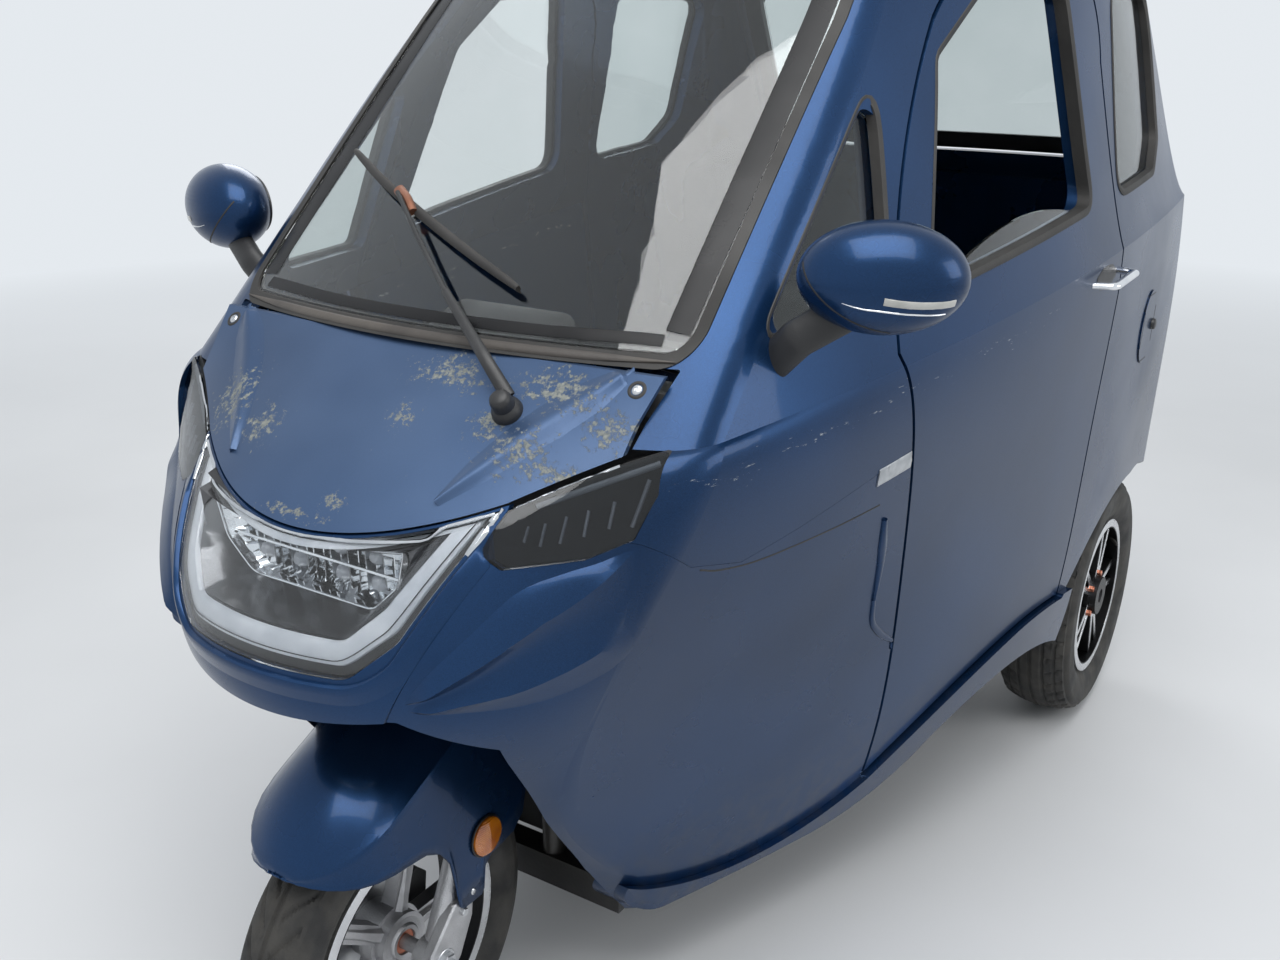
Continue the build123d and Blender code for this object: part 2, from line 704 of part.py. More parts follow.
with BuildPart() as dashboard:
    with BuildSketch(side_view):
        with BuildLine():
            Polyline((-700, 1012), (-560, 985), (-520, 930), (bulkhead_y + 40, dash_low + 1),
                     (-700, dash_low + 1), close=True)
        make_face()
    extrude(amount=345, both=True)
    add(NOSE[cab_wall], mode=Mode.INTERSECT)
    add(front_pillars.part, mode=Mode.SUBTRACT)
    with BuildSketch(steer_frame.offset(500)):
        Circle(40)
    extrude(amount=500, mode=Mode.SUBTRACT)

# Seats
with BuildPart() as seat_base:
    with Locations((0, 130, (floor_height + sheet + seat_height - 90) / 2)):
        Box(400, 360, seat_height - 90 - floor_height - sheet - 2 * seam)
with BuildPart() as driver_cushion:
    with Locations((0, 100, seat_height - 45)):
        Box(seat_width, 440, 90 - 2 * seam)
    fillet(driver_cushion.edges(), 28)
with BuildPart() as driver_backrest:
    with BuildSketch(side_view):
        with BuildLine():
            FilletPolyline((250, seat_height - 40), (330, seat_height - 40), (420, 960), (340, 970), radius=34,
                           close=True)
        make_face()
    extrude(amount=seat_width / 2 - 10, both=True)
    add(driver_cushion.part, mode=Mode.SUBTRACT)
with BuildPart() as rear_cushion:
    with Locations((0, 620, rear_floor + sheet + seam + 55)):
        Box(660, 330, 110)
    fillet(rear_cushion.edges(), 28)
seat_foot = rear_floor + sheet + seam
with BuildPart() as rear_backrest:
    with BuildSketch(side_view):
        with BuildLine():
            FilletPolyline((786, seat_foot), (866, seat_foot), (930, 880), (850, 900), radius=34,
                           close=True)
        make_face()
    extrude(amount=330, both=True)

# Rear running gear
wheel_x = rear_track / 2
with BuildPart() as rear_axle:
    with BuildSketch(Plane.YZ.offset(-(wheel_x - 70))):
        with Locations((rear_axle_y, rear_tyre_radius)):
            Circle(28)
    extrude(amount=2 * (wheel_x - 70))
    with BuildSketch(Plane.YZ.offset(-60)):
        with Locations((rear_axle_y, rear_tyre_radius)):
            Circle(85)
    extrude(amount=120)
    with BuildSketch(Plane.YZ.offset(60)):
        with Locations((rear_axle_y - 90, rear_tyre_radius)):
            Circle(75)
    extrude(amount=150)
    with BuildSketch(Plane.YZ.offset(-(wheel_x + 30))):
        with Locations((rear_axle_y, rear_tyre_radius)):
            Circle(14.6)
    extrude(amount=2 * (wheel_x + 30))
    for side in (-1, 1):
        with BuildSketch(Plane.YZ.offset(side * (wheel_x - 68))):
            with Locations((rear_axle_y, rear_tyre_radius)):
                Circle(88)
        extrude(amount=60 * side)
with BuildPart() as rear_springs:
    for x in (-rail_x, rail_x):
        with BuildSketch(Plane.XY.offset(rear_tyre_radius + 28.4)):
            with Locations((x, rear_axle_y)):
                Circle(24)
        extrude(amount=399 - rail_height - rear_tyre_radius - 28.4 - seam)
    add(rear_axle.part, mode=Mode.SUBTRACT)


def tyre(centre, radius, width, rim_width):
    """A tyre with a rounded crown, its beads at the rim's lips."""
    x, y, z = centre
    bead = rim_width / 2
    with BuildPart() as ring:
        with BuildSketch(Plane(origin=centre, x_dir=(1, 0, 0), z_dir=(0, -1, 0))):
            with BuildLine():
                Line((bead, bead_radius), (bead, rim_lip_radius + 2))
                ThreePointArc((bead, rim_lip_radius + 2), (width / 2, (rim_lip_radius + radius) / 2),
                              (0.38 * width, radius - 11))
                ThreePointArc((0.38 * width, radius - 11), (0, radius), (-0.38 * width, radius - 11))
                ThreePointArc((-0.38 * width, radius - 11), (-width / 2, (rim_lip_radius + radius) / 2),
                              (-bead, rim_lip_radius + 2))
                Line((-bead, rim_lip_radius + 2), (-bead, bead_radius))
                Line((-bead, bead_radius), (bead, bead_radius))
            make_face()
        revolve(axis=Axis(centre, (1, 0, 0)))
    return ring.part


def rim(centre, rim_width, spokes, face_x, spoke_width, twin, bore):
    """A cast rim: a barrel with two lips, a hub and spokes at the given face."""
    x, y, z = centre
    bead = rim_width / 2
    with BuildPart() as casting:
        with BuildSketch(Plane(origin=centre, x_dir=(1, 0, 0), z_dir=(0, -1, 0))):
            with BuildLine():
                Polyline((-bead - 6, rim_lip_radius), (-bead - seam, rim_lip_radius),
                         (-bead - seam, bead_radius - seam), (bead + seam, bead_radius - seam),
                         (bead + seam, rim_lip_radius), (bead + 6, rim_lip_radius),
                         (bead + 6, bead_radius - 8), (-bead - 6, bead_radius - 8), close=True)
            make_face()
        revolve(axis=Axis(centre, (1, 0, 0)))
        with BuildSketch(Plane(origin=(x + face_x, y, z), x_dir=(0, 1, 0), z_dir=(1, 0, 0))):
            Circle(46)
            with PolarLocations(0, spokes):
                for turn in ((-twin, twin) if twin else (0,)):
                    with Locations(Location((0, 0), turn)):
                        with Locations((bead_radius / 2, 0)):
                            Rectangle(bead_radius - 10, spoke_width)
        extrude(amount=11, both=True)
        with BuildSketch(Plane(origin=(x + face_x - 34, y, z), x_dir=(0, 1, 0), z_dir=(1, 0, 0))):
            Circle(40)
        extrude(amount=60)
        with BuildSketch(Plane(origin=(x - 200, y, z), x_dir=(0, 1, 0), z_dir=(1, 0, 0))):
            Circle(bore)
        extrude(amount=400, mode=Mode.SUBTRACT)
    return casting.part


# Front wheel, fork, guard and handlebar
front_centre = (0, front_axle_y, front_tyre_radius)
front_rim_width = 70
rear_rim_width = 114
front_rim = rim(front_centre, front_rim_width, 5, 0, 26, 0, 10.4)
front_tyre = tyre(front_centre, front_tyre_radius, front_tyre_width, front_rim_width)
with BuildPart() as front_brake_disc:
    with BuildSketch(Plane(origin=(-38.3, front_axle_y, front_tyre_radius), x_dir=(0, 1, 0), z_dir=(1, 0, 0))):
        Circle(90)
        Circle(36, mode=Mode.SUBTRACT)
    extrude(amount=4)

with BuildPart() as mudguard:
    with BuildSketch(side_view):
        with BuildLine():
            FilletPolyline((-1010, 438), (-858, 568), (-740, 606), (-650, 606), (-622, 480), (-660, 352),
                           (-772, 346), (-842, 418), (-952, 424), radius=12, close=True)
        make_face()
    extrude(amount=guard_half_width, both=True)
    with BuildSketch(Plane.XY.offset(300)):
        with BuildLine():
            FilletPolyline((-62, -1014), (62, -1014), (guard_half_width, -930), (guard_half_width, -500),
                           (-guard_half_width, -500), (-guard_half_width, -930), radius=24, close=True)
        make_face()
    extrude(amount=400, mode=Mode.INTERSECT)
    with BuildSketch(side_view):
        with BuildLine():
            Polyline((-998, 300), (-998, 440), (-858, 562), (-740, 600), (-500, 600), (-500, 200), (-998, 200),
                     close=True)
        make_face()
    extrude(amount=guard_half_width - 4, both=True, mode=Mode.SUBTRACT)
    with BuildSketch(steer_frame.offset(300)):
        Circle(26)
    extrude(amount=200, mode=Mode.SUBTRACT)
guard_solid = mudguard.part

crown_z = 352
crown_top = 384
bar_z = 842
with BuildPart() as fork:
    with BuildSketch(steer_frame.offset(-30)):
        with Locations((-fork_leg_x, 0), (fork_leg_x, 0)):
            Circle(fork_leg_radius)
    extrude(amount=crown_z + 30)
    with BuildSketch(steer_frame.offset(crown_z)):
        SlotOverall(2 * fork_leg_x + 38, 56)
    extrude(amount=crown_top - crown_z)
    with BuildSketch(steer_frame.offset(crown_top)):
        Circle(20)
    extrude(amount=bar_z - 12.3 - crown_top)
    with BuildSketch(steer_frame.offset(crown_top)):
        with Locations((-50, 0), (50, 0)):
            Circle(7)
    extrude(amount=22)
    for side in (-1, 1):
        with BuildSketch(Plane(origin=(side * (fork_leg_x - 14), front_axle_y, front_tyre_radius),
                               x_dir=(0, 1, 0), z_dir=(1, 0, 0))):
            Circle(25)
        extrude(amount=30 * side)
    with BuildSketch(Plane(origin=(-fork_leg_x, front_axle_y, front_tyre_radius), x_dir=(0, 1, 0), z_dir=(1, 0, 0))):
        Circle(10)
    extrude(amount=2 * fork_leg_x)
    add(guard_solid, mode=Mode.SUBTRACT)

with BuildPart() as handlebar:
    with BuildSketch(steer_frame.offset(bar_z - 12)):
        with Locations((0, 30)):
            RectangleRounded(70, 110, 12)
    extrude(amount=30)
    with BuildLine(steer_frame.offset(bar_z)) as bar_path:
        FilletPolyline((-285, 118), (-160, 64), (160, 64), (285, 118), radius=40)
    with BuildSketch(Plane(origin=bar_path.line @ 0, z_dir=bar_path.line % 0)):
        Circle(14)
    sweep()


with BuildPart() as reflectors:
    for side in (-1, 1):
        with BuildSketch(Plane.YZ.offset(side * guard_half_width)):
            with Locations((-736, 378)):
                Circle(27)
        extrude(amount=6 * side)

rear_wheel_left = rim((wheel_x, rear_axle_y, rear_tyre_radius), rear_rim_width, 5, 42, 15, 9, 15)
rear_tyre_left = tyre((wheel_x, rear_axle_y, rear_tyre_radius), rear_tyre_radius, rear_tyre_width, rear_rim_width)

with BuildPart() as hatch_hinges:
    with Locations(*hatch_pins):
        Cylinder(hatch_pin_radius, hatch_pin_length, rotation=(0, 90, 0))
    for x, y, z in hatch_pins:
        add(span((x - hatch_pin_length / 2, y - 3, hatch_top), (x + hatch_pin_length / 2, y + 3, z)))

# Every node, with the side that it takes from its piece: 0 for both, 1 for the left, -1 for the right
NODES = [
    ("hood", hood, 0), ("nose_panel", nose_panel, 0), ("front_fenders", front_fenders, 0),
    ("front_lower_panels", front_lower_panels, 0), ("hinge_pillars", hinge_pillars, 0),
    ("front_pillars", front_pillars, 0), ("roof_panel", roof_panel, 0), ("rear_pillars", rear_pillars, 0),
    ("hatch_surround", hatch_surround, 0), ("rear_quarter_panels", rear_quarter_panels, 0),
    ("rear_panel", rear_panel, 0), ("rear_bumper", rear_bumper, 0), ("sills", sills, 0),
    ("inner_sills", inner_sills, 0), ("windshield", windshield, 0), ("windshield_seal", windshield_seal, 0),
    ("side_glass", side_glass, 0), ("light_ring", light_ring, 0), ("lamp_lenses", lamp_lenses, 0),
    ("headlamp_housing", headlamp_housing, 0), ("indicator_housings", indicator_housings, 0),
    ("tail_lamps", tail_lamps, 0), ("charge_flap", charge_flap, 1), ("mirror_arms", mirror_arms, 0),
    ("mirror_heads", mirror_heads, 0), ("wiper", wiper, 0),
    ("door_strikers", door_strikers, 0),
    ("door_panel_left", door_panel, 1), ("door_frame_left", door_frame, 1), ("door_handle_left", door_handle, 1),
    ("door_panel_right", door_panel, -1), ("door_frame_right", door_frame, -1),
    ("door_handle_right", door_handle, -1), ("door_glass_right", raised_glass, -1),
    ("door_glass_left", lowered_glass_edge, 1),
    ("hatch_frame", hatch_frame, 0), ("hatch_glass", hatch_glass, 0), ("hatch_hinges", hatch_hinges, 0),
    ("chassis_frame", chassis_frame, 0), ("floor_pan", floor_pan, 0), ("dashboard", dashboard, 0),
    ("seat_base", seat_base, 0), ("driver_cushion", driver_cushion, 0), ("driver_backrest", driver_backrest, 0),
    ("rear_cushion", rear_cushion, 0), ("rear_backrest", rear_backrest, 0),
    ("rear_axle", rear_axle, 0), ("rear_springs", rear_springs, 0), ("front_rim", front_rim, 0),
    ("front_tyre", front_tyre, 0), ("front_brake_disc", front_brake_disc, 0), ("fork", fork, 0),
    ("handlebar", handlebar, 0), ("mudguard", mudguard, 0), ("reflectors", reflectors, 0),
    ("rear_rim_left", rear_wheel_left, 0), ("rear_tyre_left", rear_tyre_left, 0),
    ("rear_rim_right", mirror(rear_wheel_left, about=Plane.YZ), 0),
    ("rear_tyre_right", mirror(rear_tyre_left, about=Plane.YZ), 0),
]


def kept_solids(piece, side):
    """The solids of a piece on one side, without the slivers that a cut leaves."""
    part = piece.part if isinstance(piece, BuildPart) else piece
    largest = max(solid.volume for solid in part.solids())
    return [
        solid for solid in part.solids()
        if solid.volume > 0.02 * largest and solid.center().X * side >= 0
    ]


for node, piece, side in NODES:
    solids = kept_solids(piece, side)
    shape = solids[0] if len(solids) == 1 else Compound(children=solids)
    shape.label = node
    export_step(shape, f"parts/{node}.step")
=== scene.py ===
# %% [markdown]
# A small three wheeled cabin car: one steered wheel in front, two driven wheels behind, two doors and a
# hatch. The imported CAD model is the fixed frame. Everything here is finish, or a piece that sits on that
# frame. All lengths are metres. The nose points to -Y, the car's left side to +X, and the ground is Z = 0.

# %% Load the frame
import json
import math
import bmesh
import bpy
import numpy as np
from mathutils import Matrix, Vector
from mathutils.bvhtree import BVHTree

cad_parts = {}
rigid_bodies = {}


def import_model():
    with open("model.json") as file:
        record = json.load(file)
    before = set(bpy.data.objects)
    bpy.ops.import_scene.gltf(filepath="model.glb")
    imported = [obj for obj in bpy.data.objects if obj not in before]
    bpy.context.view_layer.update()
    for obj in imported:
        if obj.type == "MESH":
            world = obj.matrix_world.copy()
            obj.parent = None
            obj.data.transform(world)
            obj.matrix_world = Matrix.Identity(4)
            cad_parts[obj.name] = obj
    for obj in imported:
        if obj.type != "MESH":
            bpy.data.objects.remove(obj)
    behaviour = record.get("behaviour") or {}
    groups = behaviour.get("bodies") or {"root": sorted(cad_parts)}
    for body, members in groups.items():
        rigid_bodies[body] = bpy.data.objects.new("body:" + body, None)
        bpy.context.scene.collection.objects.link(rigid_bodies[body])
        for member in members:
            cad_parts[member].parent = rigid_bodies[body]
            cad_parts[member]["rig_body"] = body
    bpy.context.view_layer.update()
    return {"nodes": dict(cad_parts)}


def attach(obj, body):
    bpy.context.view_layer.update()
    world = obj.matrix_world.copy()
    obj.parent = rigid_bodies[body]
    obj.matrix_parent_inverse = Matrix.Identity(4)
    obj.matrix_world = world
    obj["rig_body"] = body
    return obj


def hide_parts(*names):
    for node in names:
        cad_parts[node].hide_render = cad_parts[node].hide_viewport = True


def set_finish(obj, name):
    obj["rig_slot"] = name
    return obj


# Where the wheels turn: the front one on the middle plane, the rear ones REAR_X out from it
FRONT_Y, FRONT_Z = -0.825, 0.235
REAR_X, REAR_Y, REAR_Z = 0.4575, 0.751, 0.254
SIDES = ((1, "left"), (-1, "right"))
BACKWARD, INWARD = Vector((0, 1, 0)), Vector((-1, 0, 0))
IN_FRONT, BESIDE, BEHIND = -2, 1.0, 3

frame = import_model()
nodes = frame["nodes"]

# %% [markdown]
# The photograph was taken from the front left, a little above the mirror, looking down at the nose.
# Its camera comes first, because many details are placed by the pixel where the photograph shows them.
# A ray goes from the camera through that pixel, and the detail sits where the ray meets the body.

# %% The camera
FRAME_WIDTH, FRAME_HEIGHT = 1280, 960
LENS, SENSOR = 0.03606, 0.036
HEADING, PITCH, ROLL = math.radians(33.3), math.radians(19.8), math.radians(0.13)
EYE = Vector((1.063, -1.826, 1.396))
right = Vector((math.cos(HEADING), math.sin(HEADING), 0))
forward = Vector((-math.sin(HEADING) * math.cos(PITCH), math.cos(HEADING) * math.cos(PITCH),
                  -math.sin(PITCH)))
turn = Matrix.Rotation(ROLL, 3, forward)
right = turn @ right
up = right.cross(forward)

lens_data = bpy.data.cameras.new("photo_camera")
lens_data.lens, lens_data.sensor_width = LENS * 1000, SENSOR * 1000
lens_data.clip_start, lens_data.clip_end = 0.05, 60
camera = bpy.data.objects.new("photo_camera", lens_data)
bpy.context.scene.collection.objects.link(camera)
camera.matrix_world = Matrix((
    (right.x, up.x, -forward.x, EYE.x),
    (right.y, up.y, -forward.y, EYE.y),
    (right.z, up.z, -forward.z, EYE.z),
    (0, 0, 0, 1),
))
bpy.context.scene.camera = camera
print("camera at", tuple(EYE), "lens", lens_data.lens)

# %% A surface to lay details on, and the point seen at a pixel
FOCAL_PIXELS = LENS / SENSOR * FRAME_WIDTH


def skin_of(*names):
    """The joined surface of some CAD nodes, which can be asked for hits and nearest points."""
    joined = bmesh.new()
    for name in names:
        joined.from_mesh(nodes[name].data)
    tree = BVHTree.FromBMesh(joined)
    joined.free()
    return tree


def seen_at(column, row, skin):
    """Where the ray through a pixel of the photograph meets a surface."""
    ray = forward * FOCAL_PIXELS + right * (column - FRAME_WIDTH / 2) - up * (row - FRAME_HEIGHT / 2)
    return skin.ray_cast(EYE, ray.normalized())[0]


def from_front(x, z, skin, guess):
    """The place on a skin at a point of the front view, or the nearest one to a guess of its depth."""
    return skin.ray_cast(Vector((x, IN_FRONT, z)), BACKWARD)[0] or skin.find_nearest(Vector((x, guess, z)))[0]


def circle(count):
    """Even angles round a circle."""
    return np.linspace(0, 2 * math.pi, count, endpoint=False)


front_skin = skin_of("hood", "nose_panel", "front_fenders", "front_lower_panels", "lamp_lenses",
                     "front_pillars")
print("pixel (400, 415) is on the hood at", seen_at(400, 415, front_skin))

# %% [markdown]
# Every finish is a node material. The same few nodes come back in most of them: a noise that varies the
# colour, a finer noise that raises or lowers the surface, and a mask that says where dust or wear sits. The
# helpers below add one of these each, so a finish reads as a short list of what the real surface has.

# %% Helpers for finishes


def new_finish(name, colour, roughness, metallic=0.0, **sockets):
    """A material whose constants sit on the shader's own sockets."""
    finish = bpy.data.materials.new(name)
    finish.use_nodes = True
    shader = shader_of(finish)
    values = {"Base Color": (*colour, 1), "Roughness": roughness, "Metallic": metallic}
    values.update({key.replace("_", " "): value for key, value in sockets.items()})
    for socket, value in values.items():
        shader.inputs[socket].default_value = value
    return finish


def add(finish, kind, settings=None, **inputs):
    """A node of a kind; an input is a number, a colour or another node's output."""
    node = finish.node_tree.nodes.new(kind)
    for key, value in (settings or {}).items():
        setattr(node, key, value)
    for key, value in inputs.items():
        socket = node.inputs[int(key[1:]) if key[0] == "i" and key[1:].isdigit() else key.replace("_", " ")]
        if isinstance(value, bpy.types.NodeSocket):
            finish.node_tree.links.new(value, socket)
        else:
            socket.default_value = value
    return node


def maths(finish, operation, *values):
    """The output of a maths node that works on numbers or on other nodes' outputs."""
    inputs = {f"i{index}": value for index, value in enumerate(values)}
    return add(finish, "ShaderNodeMath", {"operation": operation}, **inputs).outputs[0]


def along_axis(finish, axis):
    """One of the object's own coordinates: 0 is X, 1 is Y and 2 is Z."""
    return add(finish, "ShaderNodeSeparateXYZ", Vector=place(finish)).outputs[axis]


def shader_of(finish):
    """The main shader of a finish."""
    return finish.node_tree.nodes["Principled BSDF"]


def place(finish):
    """Object coordinates: they stay with the piece when its body moves."""
    return add(finish, "ShaderNodeTexCoord").outputs["Object"]


def noise(finish, scale, detail=3.0, roughness=0.5, stretch=None):
    """A noise over the object's own coordinates, stretched along an axis if asked."""
    where = place(finish)
    if stretch:
        where = add(finish, "ShaderNodeVectorMath", {"operation": "MULTIPLY"}, i0=where,
                    i1=stretch).outputs[0]
    return add(finish, "ShaderNodeTexNoise", Vector=where, Scale=scale, Detail=detail,
               Roughness=roughness).outputs[0]


def between(finish, value, low, high, to_low=0.0, to_high=1.0):
    """Value moved from one range to another, and held inside it."""
    return add(finish, "ShaderNodeMapRange", i0=value, i1=low, i2=high, i3=to_low, i4=to_high).outputs[0]


def blend_colours(finish, share, first, second):
    """Two colours mixed by a share."""
    node = add(finish, "ShaderNodeMix", {"data_type": "RGBA"}, i0=share)
    for index, colour in ((6, first), (7, second)):
        if isinstance(colour, bpy.types.NodeSocket):
            finish.node_tree.links.new(colour, node.inputs[index])
        else:
            node.inputs[index].default_value = (*colour, 1)
    return node.outputs[2]


def feed(finish, socket, value):
    """Links a value to a socket of the finish's shader."""
    finish.node_tree.links.new(value, shader_of(finish).inputs[socket])


def mottle(finish, first, second, scale, detail=4.0, low=0.35, high=0.65, stretch=None):
    """Colour that drifts between two tones."""
    share = between(finish, noise(finish, scale, detail, stretch=stretch), low, high)
    colour = blend_colours(finish, share, first, second)
    feed(finish, "Base Color", colour)
    return colour


def relief(finish, height, distance, strength=1.0):
    """A bump from a height, laid over any bump that the finish has already."""
    bump = add(finish, "ShaderNodeBump", Height=height, Distance=distance, Strength=strength)
    shader = shader_of(finish)
    if shader.inputs["Normal"].links:
        finish.node_tree.links.new(shader.inputs["Normal"].links[0].from_socket, bump.inputs["Normal"])
    finish.node_tree.links.new(bump.outputs[0], shader.inputs["Normal"])


def grain(finish, scale, distance, detail=2.0, stretch=None):
    """The fine roughness of a moulded, cast or sewn surface."""
    relief(finish, noise(finish, scale, detail, stretch=stretch), distance)


def smudge(finish, low, high, scale=9.0, stretch=None):
    """Gloss that comes and goes, as on a surface that was wiped or rained on."""
    feed(finish, "Roughness", between(finish, noise(finish, scale, 5.0, stretch=stretch), 0.3, 0.7, low,
                                      high))


print("finish helpers ready")

# %% [markdown]
# The body paint is a dark metallic blue under clear lacquer. Metal flakes give it small lighter and darker
# cells, and dust settles low on the sills and doors. A lacquer coat on the shader gives the sharp outer
# reflection, while the rougher metallic layer below it gives the soft one.

# %% Blue body paint
BLUE_DEEP = (0.005, 0.02, 0.056)
BLUE_LIT = (0.013, 0.05, 0.14)
DUST = (0.1, 0.095, 0.08)


def blue_paint(name, coat=0.32, roughness=0.27):
    """Metallic blue: flakes, a slow drift of tone and a little dust low down."""
    finish = new_finish(name, BLUE_LIT, roughness, 0.62, Coat_Weight=coat, Coat_Roughness=0.04, Coat_IOR=1.35,
                        Specular_IOR_Level=0.2)
    flakes = add(finish, "ShaderNodeTexVoronoi", Vector=place(finish), Scale=1400.0)
    drift = between(finish, noise(finish, 2.2, 2.0), 0.3, 0.7, 0.0, 0.6)
    sparkle = between(finish, flakes.outputs["Color"], 0.0, 1.0, 0.0, 0.5)
    share = maths(finish, "ADD", drift, sparkle)
    colour = blend_colours(finish, share, BLUE_DEEP, BLUE_LIT)
    height = along_axis(finish, 2)
    low_down = between(finish, height, 0.42, 0.14)
    patchy = between(finish, noise(finish, 38.0, 6.0), 0.42, 0.75)
    dust = maths(finish, "MULTIPLY", low_down, patchy)
    dust = maths(finish, "MULTIPLY", dust, 0.45)
    feed(finish, "Base Color", blend_colours(finish, dust, colour, DUST))
    smudge(finish, roughness - 0.05, roughness + 0.07, 5.0)
    relief(finish, noise(finish, 9.0, 2.0), 0.0006, 0.35)
    return finish


paint = blue_paint("blue_paint")
print("paint", paint.name)

# %% [markdown]
# The hood paint has aged. Its lacquer is hazy from the sun and has flaked off in patches: at the left rib,
# around the wiper, along the right rib, in one oval spot and at the front lip. The haze is a paler blue,
# partly faded lacquer and partly painted sky light on this upward-facing panel. Each patch is a soft blob
# around a point, and a rough noise added to it tears its edge into flakes. Below the lacquer the surface is
# matt and grey.

# %% Hood paint with flaked patches
PRIMER = (0.15, 0.165, 0.16)
PRIMER_PALE = (0.3, 0.31, 0.28)
# A patch: pixel of its middle in the photograph, then its half sizes along X, Y and Z
FLAKED = [
    ((236, 398), (0.055, 0.075, 0.06)),
    ((262, 424), (0.042, 0.04, 0.04)),
    ((402, 416), (0.026, 0.028, 0.03)),
    ((455, 372), (0.075, 0.034, 0.05)),
    ((492, 420), (0.034, 0.06, 0.05)),
    ((560, 392), (0.08, 0.036, 0.05)),
    ((520, 452), (0.055, 0.042, 0.05)),
    ((612, 430), (0.05, 0.034, 0.04)),
    ((560, 478), (0.085, 0.018, 0.03)),
    ((334, 502), (0.022, 0.014, 0.02)),
    ((290, 512), (0.075, 0.01, 0.016)),
]


def hood_finish():
    """Hazy metallic blue, paled by faded lacquer and painted sky light, with matt grey patches where lacquer
    is off.
    """
    finish = blue_paint("hood_paint", coat=0.35, roughness=0.36)
    shader = shader_of(finish)
    shader.inputs["Coat Roughness"].default_value = 0.22
    blue = shader.inputs["Base Color"].links[0].from_socket
    # The pale blue haze is partly faded lacquer and partly painted sky light on the upward-facing hood.
    haze = between(finish, noise(finish, 3.0, 3.0), 0.35, 0.75, 0.25, 0.6)
    blue = blend_colours(finish, haze, blue, (0.13, 0.2, 0.34))
    skin = skin_of("hood")
    cover = None
    for (column, row), half in FLAKED:
        middle = seen_at(column, row, skin)
        if middle is None:
            continue
        away = add(finish, "ShaderNodeVectorMath", {"operation": "SUBTRACT"}, i0=place(finish), i1=middle)
        away = add(finish, "ShaderNodeVectorMath", {"operation": "DIVIDE"}, i0=away.outputs[0], i1=half)
        away = add(finish, "ShaderNodeVectorMath", {"operation": "LENGTH"},
                   i0=away.outputs[0]).outputs["Value"]
        blob = between(finish, away, 1.35, 0.1, 0.0, 0.4)
        if cover is not None:
            blob = maths(finish, "MAXIMUM", cover, blob)
        cover = blob
    torn = noise(finish, 95.0, 9.0, 0.8)
    torn = between(finish, torn, 0.3, 0.7, -0.3, 0.5)
    cover = maths(finish, "ADD", cover, torn)
    bare = between(finish, cover, 0.42, 0.5)
    grey = blend_colours(finish, between(finish, noise(finish, 220.0, 4.0), 0.3, 0.7), PRIMER, PRIMER_PALE)
    feed(finish, "Base Color", blend_colours(finish, bare, blue, grey))
    feed(finish, "Metallic", between(finish, bare, 0.0, 1.0, 0.5, 0.0))
    feed(finish, "Roughness", between(finish, bare, 0.0, 1.0, 0.38, 0.85))
    relief(finish, between(finish, bare, 0.0, 1.0, 1.0, 0.0), 0.0005, 0.6)
    return finish


hood_paint = hood_finish()
print("hood paint with", len(FLAKED), "patches")

# %% [markdown]
# The doors and fenders are scuffed along the belt and round the handle. Scuffs are long thin noise cells,
# stretched along the car, kept to a narrow band of height. They are pale because the scratched lacquer
# scatters light.

# %% Scuffed paint for the doors and fenders


def scuffed_paint():
    """The body paint with pale scratches along the belt line."""
    finish = blue_paint("scuffed_paint")
    blue = shader_of(finish).inputs["Base Color"].links[0].from_socket
    height = along_axis(finish, 2)
    along = along_axis(finish, 1)
    level = maths(finish, "MULTIPLY_ADD", along, -0.065, height)
    near = maths(finish, "SUBTRACT", level, 0.975)
    near = maths(finish, "ABSOLUTE", near)
    band = between(finish, near, 0.045, 0.0, 0.0, 0.16)
    lines = noise(finish, 30.0, 8.0, 0.75, stretch=(2.0, 0.9, 5.5))
    scratch = maths(finish, "ADD", lines, band)
    scratch = between(finish, scratch, 0.76, 0.8)
    feed(finish, "Base Color", blend_colours(finish, scratch, blue, (0.42, 0.45, 0.48)))
    feed(finish, "Roughness", between(finish, scratch, 0.0, 1.0, 0.32, 0.7))
    relief(finish, between(finish, scratch, 0.0, 1.0, 1.0, 0.0), 0.0003, 0.5)
    return finish


door_paint = scuffed_paint()
print("scuffed paint ready")

# %% [markdown]
# The rest of the car is plastic, rubber, glass and metal. Black mouldings have a fine grain, rubber has a
# dull bloom, cast metal is speckled and machined metal has a fine, even grain. Each gets its own noise at
# that scale.

# %% Plastics and rubber


def plain_black(name, colour, pale, roughness, scale, depth):
    """A black moulding: two near tones, uneven gloss and a grain."""
    finish = new_finish(name, colour, roughness)
    mottle(finish, colour, pale, 12.0)
    smudge(finish, roughness - 0.08, roughness + 0.1)
    grain(finish, scale, depth)
    return finish


black_plastic = plain_black("black_plastic", (0.014, 0.014, 0.015), (0.024, 0.024, 0.025), 0.42, 900.0,
                            0.0003)
gloss_black = plain_black("gloss_black", (0.012, 0.012, 0.013), (0.02, 0.02, 0.021), 0.42, 40.0, 0.00001)
dash_plastic = plain_black("dash_plastic", (0.022, 0.022, 0.024), (0.036, 0.036, 0.038), 0.6, 520.0, 0.0006)
seal_rubber = plain_black("seal_rubber", (0.016, 0.015, 0.014), (0.03, 0.028, 0.026), 0.62, 260.0, 0.0003)
lower_seal = plain_black("weathered_seal", (0.05, 0.043, 0.038), (0.085, 0.074, 0.064), 0.5, 240.0, 0.0003)
frame_paint = plain_black("chassis_paint", (0.012, 0.012, 0.013), (0.03, 0.028, 0.025), 0.4, 160.0, 0.0004)
axle_casting = plain_black("axle_casting", (0.03, 0.03, 0.032), (0.06, 0.058, 0.055), 0.6, 240.0, 0.0012)
floor_mat = plain_black("floor_mat", (0.014, 0.014, 0.015), (0.028, 0.028, 0.029), 0.8, 700.0, 0.0012)


